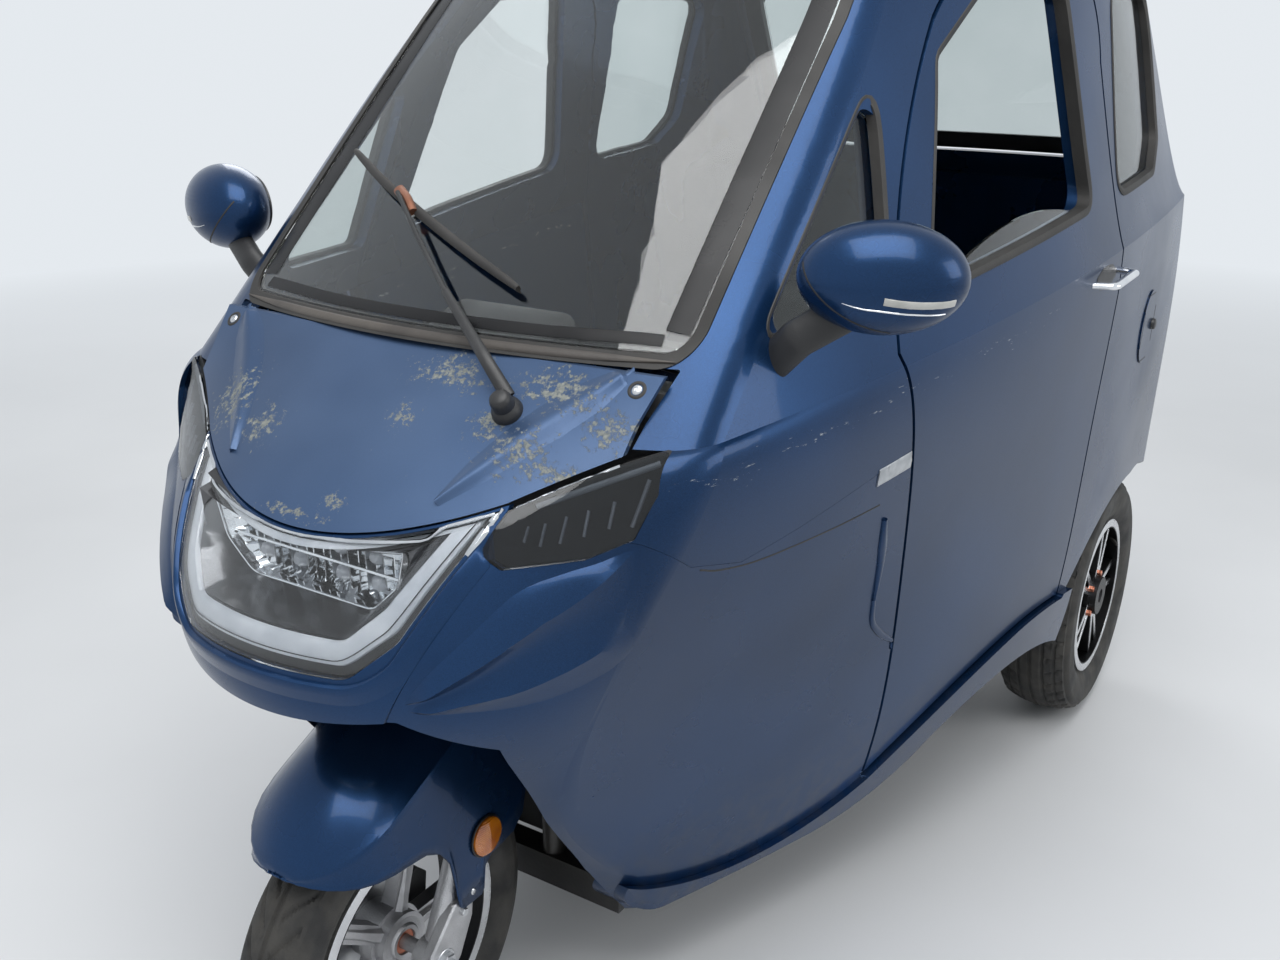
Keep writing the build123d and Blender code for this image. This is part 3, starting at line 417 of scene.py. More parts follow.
def tyre_finish():
    """Tyre rubber: black that drifts in patches to a greyer, dusty tone, with uneven gloss and a grain."""
    finish = new_finish("tyre_rubber", (0.02, 0.02, 0.02), 0.72)
    mottle(finish, (0.018, 0.018, 0.018), (0.048, 0.045, 0.04), 26.0, 6.0)
    smudge(finish, 0.6, 0.85, 22.0)
    grain(finish, 420.0, 0.0005)
    return finish


tyre_rubber = tyre_finish()

# %% Glass and lamp finishes
clear_glass = new_finish("clear_glass", (0.93, 0.96, 0.95), 0.0, Transmission_Weight=1.0, IOR=1.45)
mottle(clear_glass, (0.9, 0.935, 0.925), (0.96, 0.98, 0.975), 2.5)
smudge(clear_glass, 0.0, 0.03, 6.0)
side_tint = new_finish("side_glass_tint", (0.62, 0.68, 0.67), 0.0, Transmission_Weight=1.0, IOR=1.45)
mottle(side_tint, (0.6, 0.66, 0.65), (0.68, 0.73, 0.72), 3.0)
smudge(side_tint, 0.0, 0.03, 6.0)


def lens_finish():
    """Clear over the headlamp and smoked over the two wings."""
    finish = new_finish("lamp_lens", (0.93, 0.95, 0.96), 0.0, Transmission_Weight=1.0, IOR=1.4)
    across = along_axis(finish, 0)
    across = maths(finish, "ABSOLUTE", across)
    wing = between(finish, across, 0.2305, 0.2315)
    haze = between(finish, noise(finish, 18.0, 4.0), 0.3, 0.7, 0.0, 0.06)
    clear = blend_colours(finish, haze, (0.95, 0.965, 0.975), (0.8, 0.84, 0.86))
    feed(finish, "Base Color", blend_colours(finish, wing, clear, (0.34, 0.36, 0.38)))
    feed(finish, "Roughness", between(finish, noise(finish, 11.0, 4.0), 0.4, 0.8, 0.0, 0.035))
    return finish


lamp_lens = lens_finish()
light_guide = new_finish("light_guide", (0.6, 0.63, 0.68), 0.22, Coat_Weight=1.0, Coat_Roughness=0.05)
mottle(light_guide, (0.52, 0.55, 0.6), (0.7, 0.72, 0.76), 14.0)
grain(light_guide, 500.0, 0.0002)


def coloured_lens(name, deep, bright):
    """A moulded lens with prism ribs."""
    finish = new_finish(name, bright, 0.12, Coat_Weight=1.0, Coat_Roughness=0.03)
    mottle(finish, deep, bright, 30.0)
    wave = add(finish, "ShaderNodeTexWave", {"bands_direction": "Z"}, Vector=place(finish), Scale=110.0)
    relief(finish, wave.outputs[1], 0.0006)
    return finish


amber_lens = coloured_lens("amber_lens", (0.5, 0.12, 0.004), (0.78, 0.24, 0.01))
red_lens = coloured_lens("red_lens", (0.2, 0.004, 0.004), (0.42, 0.012, 0.01))

# %% Metals


def metal(name, colour, pale, roughness, scale, depth, spread=20.0):
    """Bare metal: two tones, uneven gloss and a surface grain."""
    finish = new_finish(name, colour, roughness, 1.0)
    mottle(finish, colour, pale, spread)
    smudge(finish, max(0.03, roughness - 0.06), roughness + 0.08, 14.0)
    grain(finish, scale, depth)
    return finish


chrome = metal("chrome", (0.72, 0.74, 0.77), (0.86, 0.87, 0.88), 0.07, 40.0, 0.00006)
reflector = metal("lamp_reflector", (0.74, 0.76, 0.78), (0.9, 0.91, 0.92), 0.1, 30.0, 0.0001)
cast_silver = metal("cast_silver", (0.4, 0.4, 0.41), (0.54, 0.54, 0.55), 0.42, 480.0, 0.0008)
cut_silver = metal("machined_silver", (0.62, 0.63, 0.65), (0.78, 0.79, 0.8), 0.22, 700.0, 0.0001)
bright_steel = metal("bright_steel", (0.5, 0.51, 0.53), (0.66, 0.67, 0.68), 0.3, 300.0, 0.0002)
red_steel = metal("red_tinged_steel", (0.4, 0.13, 0.08), (0.52, 0.24, 0.16), 0.35, 300.0, 0.0002)
copper_clip = metal("copper_brown_clip", (0.3, 0.13, 0.08), (0.42, 0.2, 0.13), 0.4, 300.0, 0.0003)
RIM_RADIUS = 0.163


def wheel_finish(name, axle_y, axle_z, spoke, barrel):
    """Cast wheel: silver spokes, dark barrel between them and a bright cut lip, by distance from the axle."""
    finish = new_finish(name, spoke, 0.4, 1.0)
    parts = add(finish, "ShaderNodeSeparateXYZ", Vector=place(finish)).outputs
    over = maths(finish, "SUBTRACT", parts[1], axle_y)
    high = maths(finish, "SUBTRACT", parts[2], axle_z)
    flat = add(finish, "ShaderNodeCombineXYZ", X=over, Y=high).outputs[0]
    radius = add(finish, "ShaderNodeVectorMath", {"operation": "LENGTH"}, i0=flat).outputs["Value"]
    dark = between(finish, radius, RIM_RADIUS - 0.022, RIM_RADIUS - 0.02)
    bright = between(finish, radius, RIM_RADIUS - 0.006, RIM_RADIUS - 0.004)
    speckle = between(finish, noise(finish, 40.0, 4.0), 0.3, 0.7)
    tone = blend_colours(finish, speckle, spoke, tuple(1.2 * value for value in spoke))
    tone = blend_colours(finish, dark, tone, barrel)
    feed(finish, "Base Color", blend_colours(finish, bright, tone, (0.72, 0.73, 0.75)))
    feed(finish, "Roughness", between(finish, bright, 0.0, 1.0, 0.42, 0.2))
    grain(finish, 420.0, 0.0006)
    return finish


front_wheel_metal = wheel_finish("front_wheel_metal", FRONT_Y, FRONT_Z, (0.42, 0.42, 0.43),
                                 (0.03, 0.03, 0.032))
rear_wheel_metal = wheel_finish("rear_wheel_metal", REAR_Y, REAR_Z, (0.05, 0.05, 0.052), (0.02, 0.02, 0.021))
print("finishes made:", len(bpy.data.materials))

# %% [markdown]
# Each CAD node keeps its shape and gets a finish. Pressed and moulded edges are never knife sharp, so the
# panels also get a one millimetre bevel, which catches the light along every seam between two panels.

# %% Finish the CAD nodes
FINISHES = {
    paint: ["nose_panel", "front_lower_panels", "front_pillars", "roof_panel", "rear_pillars",
            "hatch_surround", "rear_quarter_panels", "rear_panel", "rear_bumper", "sills", "mirror_heads",
            "charge_flap", "mudguard", "door_frame_left", "door_frame_right"],
    hood_paint: ["hood"],
    door_paint: ["front_fenders", "door_panel_left", "door_panel_right"],
    clear_glass: ["windshield", "door_glass_left", "door_glass_right"],
    side_tint: ["side_glass", "hatch_glass"],
    lamp_lens: ["lamp_lenses"],
    light_guide: ["light_ring"],
    red_lens: ["tail_lamps"],
    amber_lens: ["reflectors"],
    seal_rubber: ["windshield_seal"],
    black_plastic: ["hinge_pillars", "inner_sills", "mirror_arms", "wiper", "hatch_frame", "hatch_hinges",
                    "handlebar", "seat_base"],
    gloss_black: ["headlamp_housing", "indicator_housings"],
    dash_plastic: ["dashboard"],
    floor_mat: ["floor_pan"],
    frame_paint: ["chassis_frame"],
    axle_casting: ["rear_axle"],
    red_steel: ["rear_springs"],
    cast_silver: ["fork"],
    bright_steel: ["front_brake_disc", "door_strikers"],
    chrome: ["door_handle_left", "door_handle_right"],
    front_wheel_metal: ["front_rim"],
    rear_wheel_metal: ["rear_rim_left", "rear_rim_right"],
    tyre_rubber: ["front_tyre", "rear_tyre_left", "rear_tyre_right"],
}
PRESSED = FINISHES[paint] + FINISHES[hood_paint] + FINISHES[door_paint]

for finish, names in FINISHES.items():
    for name in names:
        node = nodes[name]
        node.data.materials.clear()
        node.data.materials.append(finish)
        for face in node.data.polygons:
            face.material_index = 0

for name in PRESSED:
    bevel = nodes[name].modifiers.new("pressed_edge", "BEVEL")
    bevel.width, bevel.segments, bevel.angle_limit = 0.0011, 2, math.radians(40)
    bevel.limit_method = "ANGLE"
waiting = [name for name in nodes if not any(name in names for names in FINISHES.values())]
print("nodes that get a piece of their own below:", waiting)

# %% [markdown]
# The pieces that the CAD model leaves to Blender are built from a few kinds of form. A tube follows a path, a
# turned part spins a profile round an axis, a loft joins loops of equal length, and a band is laid on the
# body: each point of it drops to the nearest place on the skin, so it hugs every curve and shows no gap from
# any side.

# %% Helpers for pieces


def piece(name, verts, faces, body, finish, slot, sharp=35, edge=0.0, flat=False):
    """A mesh in the car's frame that rides on a body and takes its finish from a slot of the record."""
    mesh = bpy.data.meshes.new(name)
    mesh.from_pydata([tuple(v) for v in verts], [], faces)
    shaped = bmesh.new()
    shaped.from_mesh(mesh)
    bmesh.ops.remove_doubles(shaped, verts=shaped.verts, dist=1e-6)
    bmesh.ops.dissolve_degenerate(shaped, edges=shaped.edges, dist=1e-7)
    bmesh.ops.recalc_face_normals(shaped, faces=shaped.faces)
    shaped.to_mesh(mesh)
    shaped.free()
    mesh.materials.append(finish)
    if not flat:
        mesh.shade_smooth()
        mesh.set_sharp_from_angle(angle=math.radians(sharp))
    made = bpy.data.objects.new(name, mesh)
    bpy.context.scene.collection.objects.link(made)
    if edge:
        bevel = made.modifiers.new("edge", "BEVEL")
        bevel.width, bevel.segments, bevel.limit_method = edge, 2, "ANGLE"
    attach(made, body)
    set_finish(made, slot)
    return made


def other_side(made, name, body=None):
    """The same piece mirrored to the right side of the car."""
    mesh = made.data.copy()
    mesh.name = name
    mesh.transform(Matrix.Scale(-1, 4, (1, 0, 0)))
    mesh.flip_normals()
    copy = bpy.data.objects.new(name, mesh)
    bpy.context.scene.collection.objects.link(copy)
    for modifier in made.modifiers:
        twin = copy.modifiers.new(modifier.name, modifier.type)
        twin.width, twin.segments, twin.limit_method = modifier.width, modifier.segments, "ANGLE"
    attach(copy, body or made["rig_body"])
    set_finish(copy, made["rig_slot"])
    return copy


def both(made, body=None):
    """Adds the mirrored twin of a left piece: its name says left, and the twin's says right."""
    return made, other_side(made, made.name.replace("left", "right"), body)


def loft(loops, closed=True, caps=True):
    """Verts and faces that join loops of equal length, one after another."""
    count = len(loops[0])
    verts = [point for loop in loops for point in loop]
    faces = []
    for row in range(len(loops) - 1):
        for column in range(count if closed else count - 1):
            after = (column + 1) % count
            low, high = row * count, (row + 1) * count
            faces.append((low + column, low + after, high + after, high + column))
    if caps and closed:
        faces.append(tuple(range(count))[::-1])
        faces.append(tuple(range(len(verts) - count, len(verts))))
    return verts, faces


def joined(*shapes):
    """Several verts and faces lists as one."""
    verts, faces = [], []
    for more, cells in shapes:
        faces += [tuple(index + len(verts) for index in cell) for cell in cells]
        verts += list(more)
    return verts, faces


def spread(points, count):
    """Points moved to even steps along their own line."""
    points = [Vector(p) for p in points]
    lengths = np.cumsum([0.0] + [(b - a).length for a, b in zip(points, points[1:])])
    found = []
    for wanted in np.linspace(0, lengths[-1], count):
        index = min(int(np.searchsorted(lengths, wanted, side="right")) - 1, len(points) - 2)
        span = lengths[index + 1] - lengths[index]
        found.append(points[index].lerp(points[index + 1], (wanted - lengths[index]) / span if span else 0))
    return found


def flowing(points, steps=8):
    """A smooth line through points (Catmull-Rom)."""
    points = [Vector(p) for p in points]
    line = [points[0] * 2 - points[1], *points, points[-1] * 2 - points[-2]]
    found = []
    for a, b, c, d in zip(line, line[1:], line[2:], line[3:]):
        for step in range(steps):
            t = step / steps
            found.append(0.5 * (2 * b + (c - a) * t + (2 * a - 5 * b + 4 * c - d) * t * t
                                + (3 * b - a - 3 * c + d) * t ** 3))
    return found + [points[-1]]


def rounded(points, radius, steps=6):
    """A line whose inner corners are rounded."""
    points = [Vector(p) for p in points]
    found = [points[0]]
    for a, p, b in zip(points, points[1:], points[2:]):
        back, on = (a - p).normalized(), (b - p).normalized()
        cut = min(radius / math.tan(back.angle(on) / 2), 0.48 * (a - p).length, 0.48 * (b - p).length)
        for step in range(steps + 1):
            t = step / steps
            found.append((1 - t) ** 2 * (p + back * cut) + 2 * t * (1 - t) * p + t * t * (p + on * cut))
    return found + [points[-1]]


def tube(line, radius, sides=14, squash=1.0, side_hint=(0, 0, 1)):
    """A round or flattened rod along a line; radius may be a list with one value for each point."""
    line = [Vector(p) for p in line]
    sizes = radius if isinstance(radius, (list, tuple)) else [radius] * len(line)
    loops = []
    across = Vector(side_hint)
    for index, point in enumerate(line):
        heading = (line[min(index + 1, len(line) - 1)] - line[max(index - 1, 0)]).normalized()
        across = (across - heading * across.dot(heading)).normalized()
        beside = heading.cross(across)
        loops.append([
            point + (across * math.cos(2 * math.pi * k / sides) * squash
                     + beside * math.sin(2 * math.pi * k / sides)) * sizes[index]
            for k in range(sides)
        ])
    return loft(loops)


def turned(profile, centre, axis, sides=40):
    """A profile of (radius, distance along the axis) spun round the axis."""
    axis = Vector(axis).normalized()
    across = axis.orthogonal().normalized()
    beside = axis.cross(across)
    loops = [
        [Vector(centre) + axis * along + (across * math.cos(2 * math.pi * k / sides)
                                          + beside * math.sin(2 * math.pi * k / sides)) * max(radius, 1e-5)
         for k in range(sides)]
        for radius, along in profile
    ]
    return loft(loops)


def ring(profile, centre, axis, sides=40):
    """A turned part with a hole through it: its profile closes on itself and has no end faces."""
    verts = turned(profile, centre, axis, sides)[0]
    loops = [verts[row * sides:(row + 1) * sides] for row in range(len(profile))]
    return loft(loops + loops[:1], caps=False)


CABIN_MIDDLE = Vector((0, 0.1, 0.8))
RIDGE = ((-1, 0), (-0.85, 0.55), (-0.45, 0.93), (0, 1), (0.45, 0.93), (0.85, 0.55), (1, 0))


def drop(point, skin):
    """The nearest place on a skin, with the way out of it."""
    spot, normal = skin.find_nearest(Vector(point))[:2]
    outward = normal if normal.dot(Vector(point) - CABIN_MIDDLE) > -0.3 else -normal
    return spot, outward


def laid(line, width, height, skin, profile=RIDGE, steps=None, sink=0.0008):
    """A band on a skin along a line. Width may be a list; the profile gives height across it."""
    line = spread(line, steps or max(8, len(line)))
    widths = width if isinstance(width, (list, tuple)) else [width] * len(line)
    widths = np.interp(np.linspace(0, 1, len(line)), np.linspace(0, 1, len(widths)), widths)
    loops = []
    for index, point in enumerate(line):
        spot, outward = drop(point, skin)
        heading = (line[min(index + 1, len(line) - 1)] - line[max(index - 1, 0)]).normalized()
        across = outward.cross(heading).normalized()
        top, base = [], []
        for share, lift in profile:
            foot, out = drop(spot + across * share * widths[index] / 2, skin)
            top.append(foot + out * (height * lift + 0.0002))
            base.append(foot - out * sink)
        loops.append(top + base[::-1])
    return loft(loops)


def by_pixels(pixels, skin):
    """A line on a skin through pixels of the photograph."""
    return [point for point in (seen_at(column, row, skin) for column, row in pixels) if point is not None]


print("piece helpers ready")

# %% [markdown]
# The nose carries one wide lamp. Behind its clear lens a pale light guide runs round the edge like a shield,
# a black margin lies outside it, and a dark bezel falls away inside it to a silvery reflector with a bright
# rim. All of these are lofts between outlines drawn in the front view and pushed in from the lens by their
# depth.

# %% Outlines of the lamp in the front view
lens_skin = skin_of("lamp_lenses")
LENS_Y = -0.93


def circle_arc(left, middle, right_end, count):
    """Points on the circle arc through three points of the front view."""
    (ax, az), (bx, bz), (cx, cz) = left, middle, right_end
    d = 2 * (ax * (bz - cz) + bx * (cz - az) + cx * (az - bz))
    ux = ((ax**2 + az**2) * (bz - cz) + (bx**2 + bz**2) * (cz - az) + (cx**2 + cz**2) * (az - bz)) / d
    uz = ((ax**2 + az**2) * (cx - bx) + (bx**2 + bz**2) * (ax - cx) + (cx**2 + cz**2) * (bx - ax)) / d
    start, end = math.atan2(az - uz, ax - ux), math.atan2(cz - uz, cx - ux)
    radius = math.hypot(ax - ux, az - uz)
    return [Vector((ux + radius * math.cos(a), uz + radius * math.sin(a)))
            for a in np.linspace(start, end, count)]


TOP_POINTS, SIDE_POINTS = 49, 96


def shield(corner, top_middle, side, radius):
    """A closed shield outline: an arc on top, down the car's left side, along the bottom and up again."""
    top = circle_arc((-corner[0], corner[1]), (0, top_middle), corner, TOP_POINTS)
    rest = [corner, *side, *[(-x, z) for x, z in side[::-1]], (-corner[0], corner[1])]
    return top + spread(rounded(rest, radius), SIDE_POINTS)[1:-1]


def pushed_in(loop, depth):
    """Front view points moved to the lens surface and in from it."""
    found = []
    for point in loop:
        hit = from_front(point.x, point.y, lens_skin, LENS_Y)
        found.append(Vector((point.x, hit.y + depth * 1.05, point.y)))
    return found


def mixed(first, second, share):
    """A loop between two loops."""
    return [a.lerp(b, share) for a, b in zip(first, second)]


lens_edge = shield((0.232, 0.898), 0.8575, [(0.176, 0.774), (0.1265, 0.7285)], 0.034)
guide_outer = shield((0.224, 0.8925), 0.8545, [(0.171, 0.7795), (0.1225, 0.7385)], 0.03)
guide_inner = shield((0.19, 0.8745), 0.8425, [(0.1525, 0.802), (0.1135, 0.7635)], 0.026)
mouth = shield((0.15, 0.853), 0.838, [(0.139, 0.81), (0.098, 0.772)], 0.03)
print("lamp outlines with", len(lens_edge), "points")

# %% The light guide, its margin and the bezel
bezel_finish = new_finish("lamp_bezel", (0.1, 0.1, 0.105), 0.2, 0.75, Coat_Weight=0.5)
mottle(bezel_finish, (0.07, 0.07, 0.075), (0.14, 0.14, 0.145), 9.0)
shader_of(bezel_finish).inputs["Specular IOR Level"].default_value = 0.25

# Share of the way from the guide's outer to its inner outline, and depth behind the lens
GUIDE_SECTION = ((0.0, 0.0125), (0.02, 0.0085), (0.08, 0.0066), (0.3, 0.0056), (0.5, 0.0053), (0.7, 0.0056),
                 (0.92, 0.0066), (0.98, 0.0085), (1.0, 0.0125))
guide_rows = [pushed_in(mixed(guide_outer, guide_inner, share), depth) for share, depth in GUIDE_SECTION]
guide = piece("light_guide", *loft(guide_rows + guide_rows[:1], caps=False), "car_body", light_guide,
              "light_guide")
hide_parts("light_ring")
groove_line = pushed_in(mixed(guide_outer, guide_inner, 0.26), 0.005)
piece("light_guide_line", *tube(groove_line + groove_line[:1], 0.0007, 6), "car_body", bezel_finish,
      "light_guide")
margin_rows = [pushed_in(mixed(lens_edge, guide_outer, share), 0.0092) for share in (0.0, 0.5, 1.0)]
margin_rows.append(pushed_in(guide_outer, 0.0128))
piece("lamp_margin", *loft(margin_rows, caps=False), "car_body", gloss_black, "black_plastic")


def at_depth(loop, y):
    """Front view points on a plane across the car."""
    return [Vector((point.x, y, point.y)) for point in loop]


edge_in = pushed_in(guide_inner, 0.0125)
step_loop = mixed(guide_inner, mouth, 0.3)
step_in = mixed(pushed_in(step_loop, 0.02), at_depth(step_loop, LENS_Y), 0.3)
step_low = mixed(step_in, at_depth(mixed(guide_inner, mouth, 0.42), -0.915), 0.7)
rim_in = at_depth(mixed(guide_inner, mouth, 0.96), -0.902)
bezel = loft([edge_in, step_in, step_low, rim_in, at_depth(mouth, -0.898)], caps=False)
piece("lamp_bezel", *bezel, "car_body", bezel_finish, "black_plastic", sharp=28)
print("light guide box", [round(v, 3) for v in guide.bound_box[0]])

# %% The reflector, its rim, its fins and the lamp modules
MOUTH_MIDDLE = Vector((0, 0.81))
bowl = []
for step in range(8):
    share = step / 7
    shrink = 1 - 0.8 * share**1.6
    loop = [MOUTH_MIDDLE + (point - MOUTH_MIDDLE) * shrink for point in mouth]
    flute = [0.0016 * (1 if index // 3 % 2 else -1) * min(1, 3 * share) for index in range(len(loop))]
    depth = -0.898 + 0.036 * math.sin(share * math.pi / 2)
    bowl.append([Vector((point.x, depth + wave, point.y)) for point, wave in zip(loop, flute)])
bowl_verts, bowl_faces = loft(bowl, caps=False)
bowl_faces.append(tuple(range(len(bowl_verts) - len(mouth), len(bowl_verts))))
piece("lamp_reflector", bowl_verts, bowl_faces, "car_body", reflector, "disc_steel", flat=True)
rim_line = at_depth(mouth, -0.9005)
piece("lamp_rim", *tube(rim_line + rim_line[:1], 0.0017, 8), "car_body", chrome, "handle_chrome")
fins = []
for count in range(18):
    x = -0.119 + 0.014 * count
    low, high = 0.78 + 0.8 * max(0.0, abs(x) - 0.09), 0.836 + 0.09 * abs(x)
    fins.append(loft([[Vector((x + dx, y, z)) for y, z in
                       ((-0.884, low), (-0.866, low), (-0.866, high), (-0.888 + 0.004 * (count % 2), high))]
                      for dx in (-0.0009, 0.0009)]))
piece("reflector_fins", *joined(*fins), "car_body", reflector, "disc_steel", flat=True)
SHELF = ((-0.894, 0.8125), (-0.87, 0.8105), (-0.87, 0.816), (-0.892, 0.8155))
shelf = loft([[Vector((x, y, z)) for y, z in SHELF] for x in (-0.136, -0.068, 0, 0.068, 0.136)])
piece("lamp_shelf", *shelf, "car_body", chrome, "disc_steel", edge=0.0006)
MODULE = [(0, -0.012), (0.005, -0.0115), (0.009, -0.008), (0.0105, -0.003), (0.0115, 0.0), (0.0115, 0.012)]
modules = [turned(MODULE, (x, -0.878, z), (0, 1, 0), 24)
           for x in (-0.091, -0.035, 0.035, 0.091) for z in (0.797, 0.829)]
piece("lamp_modules", *joined(*modules), "car_body", light_guide, "light_guide")

# %% Bright trim along the lens edge and between lamp and wings
trim_metal = metal("lamp_trim", (0.5, 0.52, 0.55), (0.68, 0.7, 0.72), 0.16, 60.0, 0.00005)
top_line = [lens_skin.find_nearest(point)[0] for point in pushed_in(lens_edge[:TOP_POINTS], 0.0)]
piece("lamp_top_trim", *laid(top_line, 0.0045, 0.0012, lens_skin, steps=60), "car_body", trim_metal,
      "handle_chrome")
wing_skin = skin_of("lamp_lenses", "nose_panel", "front_fenders", "hood")
diagonal = by_pixels([(467, 556), (478, 541), (491, 523), (503, 509)], wing_skin)
strip = piece("lamp_joint_left", *laid(diagonal, [0.007, 0.009, 0.008, 0.006], 0.0016, wing_skin, steps=14),
              "car_body", trim_metal, "handle_chrome")
both(strip)
wing_top = by_pixels([(512, 508), (530, 500), (560, 488), (590, 477), (620, 466), (645, 457), (664, 451)],
                     wing_skin)
both(piece("wing_trim_left", *laid(wing_top, 0.0035, 0.001, wing_skin, steps=26), "car_body", trim_metal,
           "handle_chrome"))

# %% Light bars inside the wings
housing_skin = skin_of("indicator_housings")
BARS = [
    ([(537, 507), (600, 485), (661, 464)], 0.0075),
    ([(529, 527), (524, 543)], 0.0034),
    ([(546, 524), (540, 547)], 0.0036),
    ([(567, 517), (560, 544)], 0.0038),
    ([(589, 511), (584, 537)], 0.004),
    ([(615, 502), (609, 529)], 0.0042),
    ([(650, 480), (641, 504), (632, 527)], 0.005),
]
bars = []
for pixels, width in BARS:
    line = by_pixels(pixels, housing_skin)
    if len(line) > 1:
        bars.append(laid(line, width, 0.003, housing_skin, steps=10))
both(piece("wing_lights_left", *joined(*bars), "car_body", light_guide, "light_guide"))
print("wing light bars", len(bars))

# %% [markdown]
# The mudguard is a pressed beak. Seen from above its nose is round, its top is crowned, and one crease on
# each side runs back from the tip. An arm on each side reaches down towards the axle and ends square. It is
# one loft of cross sections along the car, and a solidify modifier gives the sheet its thickness.

# %% The mudguard
# Each station: y, half width, top of the crown, height of the crease, lower edge
GUARD_ROWS = [
    (-0.9986, 0.001, 0.4425, 0.4415, 0.4405), (-0.9979, 0.014, 0.4465, 0.442, 0.4382),
    (-0.996, 0.03, 0.452, 0.4435, 0.4365), (-0.990, 0.047, 0.4645, 0.448, 0.434),
    (-0.980, 0.063, 0.4785, 0.454, 0.431), (-0.966, 0.0775, 0.4955, 0.4615, 0.428),
    (-0.95, 0.0885, 0.5115, 0.4695, 0.4255), (-0.93, 0.0965, 0.528, 0.4795, 0.4235),
    (-0.905, 0.1005, 0.5445, 0.491, 0.4215), (-0.88, 0.101, 0.558, 0.503, 0.42),
    (-0.85, 0.101, 0.571, 0.517, 0.4165), (-0.825, 0.101, 0.58, 0.529, 0.403),
    (-0.807, 0.101, 0.5865, 0.538, 0.378), (-0.7985, 0.101, 0.589, 0.5415, 0.335),
    (-0.794, 0.101, 0.59, 0.5435, 0.302), (-0.788, 0.101, 0.5915, 0.546, 0.2955),
    (-0.752, 0.101, 0.5995, 0.5625, 0.2955), (-0.746, 0.101, 0.6, 0.5645, 0.302),
    (-0.7415, 0.101, 0.601, 0.566, 0.335), (-0.728, 0.101, 0.603, 0.5715, 0.346),
    (-0.705, 0.101, 0.605, 0.5795, 0.349), (-0.68, 0.101, 0.6055, 0.586, 0.354),
    (-0.66, 0.101, 0.6055, 0.5885, 0.372), (-0.651, 0.1, 0.604, 0.588, 0.4),
    (-0.6435, 0.099, 0.6, 0.586, 0.44),
]
SIDE_STEPS, CROWN_STEPS = 9, 11


def guard_section(y, half, top, crease, low):
    """One cross section, from the lower left edge over the crown to the lower right edge."""
    side = []
    for step in range(SIDE_STEPS):
        t = step / (SIDE_STEPS - 1)
        lip = 0.0022 * max(0.0, 1 - t * 7)
        side.append((half + lip - 0.0012 * math.sin(math.pi * t), low + (crease - 0.0035 - low) * t))
    side.append((half - 0.0006, crease - 0.0012))
    crown = []
    for step in range(CROWN_STEPS):
        t = step / CROWN_STEPS
        x = (half - 0.0035) * (1 - t)
        crown.append((x, crease + 0.0008 + (top - crease - 0.0008) * (1 - (1 - t) ** 2.1)))
    half_line = side + crown
    line = half_line + [(0, top)] + [(-x, z) for x, z in half_line[::-1]]
    return [Vector((x, y, z)) for x, z in line]


smooth_rows = []
for before, after in zip(GUARD_ROWS, GUARD_ROWS[1:]):
    smooth_rows += [tuple(a + (b - a) * t for a, b in zip(before, after)) for t in (0.0, 0.5)]
smooth_rows.append(GUARD_ROWS[-1])
guard = piece("mudguard_shell", *loft([guard_section(*row) for row in smooth_rows], closed=False), "steering",
              paint, "body_paint", sharp=38)
sheet = guard.modifiers.new("sheet", "SOLIDIFY")
sheet.thickness, sheet.offset = 0.0026, -1
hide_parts("mudguard")
print("mudguard faces", len(guard.data.polygons))

# %% Screws of the mudguard, the amber reflectors and the axle clamps


def screw_head(spot, axis, size, depth=0.002):
    """A round head with a chamfered rim and a cross slot pressed into it."""
    return turned([(0, depth * 0.92), (size * 0.3, depth * 0.92), (size * 0.34, depth * 0.6),
                   (size * 0.42, depth * 0.6), (size * 0.46, depth), (size * 0.8, depth * 0.8),
                   (size, depth * 0.25), (size, -depth * 0.4)], spot, axis, 24)


guard_screws = [screw_head((0.1012, y, z), (1, 0, 0), 0.0052)
                for y, z in ((-0.664, 0.527), (-0.7665, 0.3085))]
both(piece("guard_screws_left", *joined(*guard_screws), "steering", bright_steel, "disc_steel"))

REFLECTOR_SPOT = Vector((0.1015, -0.736, 0.378))
lens_rows = []
for radius, along in ((0.027, 0.0), (0.027, 0.0042), (0.0262, 0.0052), (0.0235, 0.0056), (0.0185, 0.0062),
                      (0.0125, 0.0068), (0.006, 0.0072), (0.0006, 0.0074)):
    lens_rows.append([REFLECTOR_SPOT
                      + Vector((along + 0.0016 * (radius < 0.024) * (1 - abs(math.cos(a)) * radius / 0.0235),
                                radius * math.cos(a), radius * math.sin(a))) for a in circle(48)])
amber = piece("side_reflector_left", *loft(lens_rows), "steering", amber_lens, "amber_lens", sharp=24)
amber_twins = both(amber)
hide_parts("reflectors")
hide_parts("reflectors")
cup = turned([(0.0, -0.001), (0.0268, -0.001), (0.0292, -0.0006), (0.0296, 0.0016), (0.0283, 0.0022),
              (0.0274, 0.0016)], REFLECTOR_SPOT, (1, 0, 0), 48)
both(piece("reflector_cup_left", *cup, "steering", gloss_black, "black_plastic"))

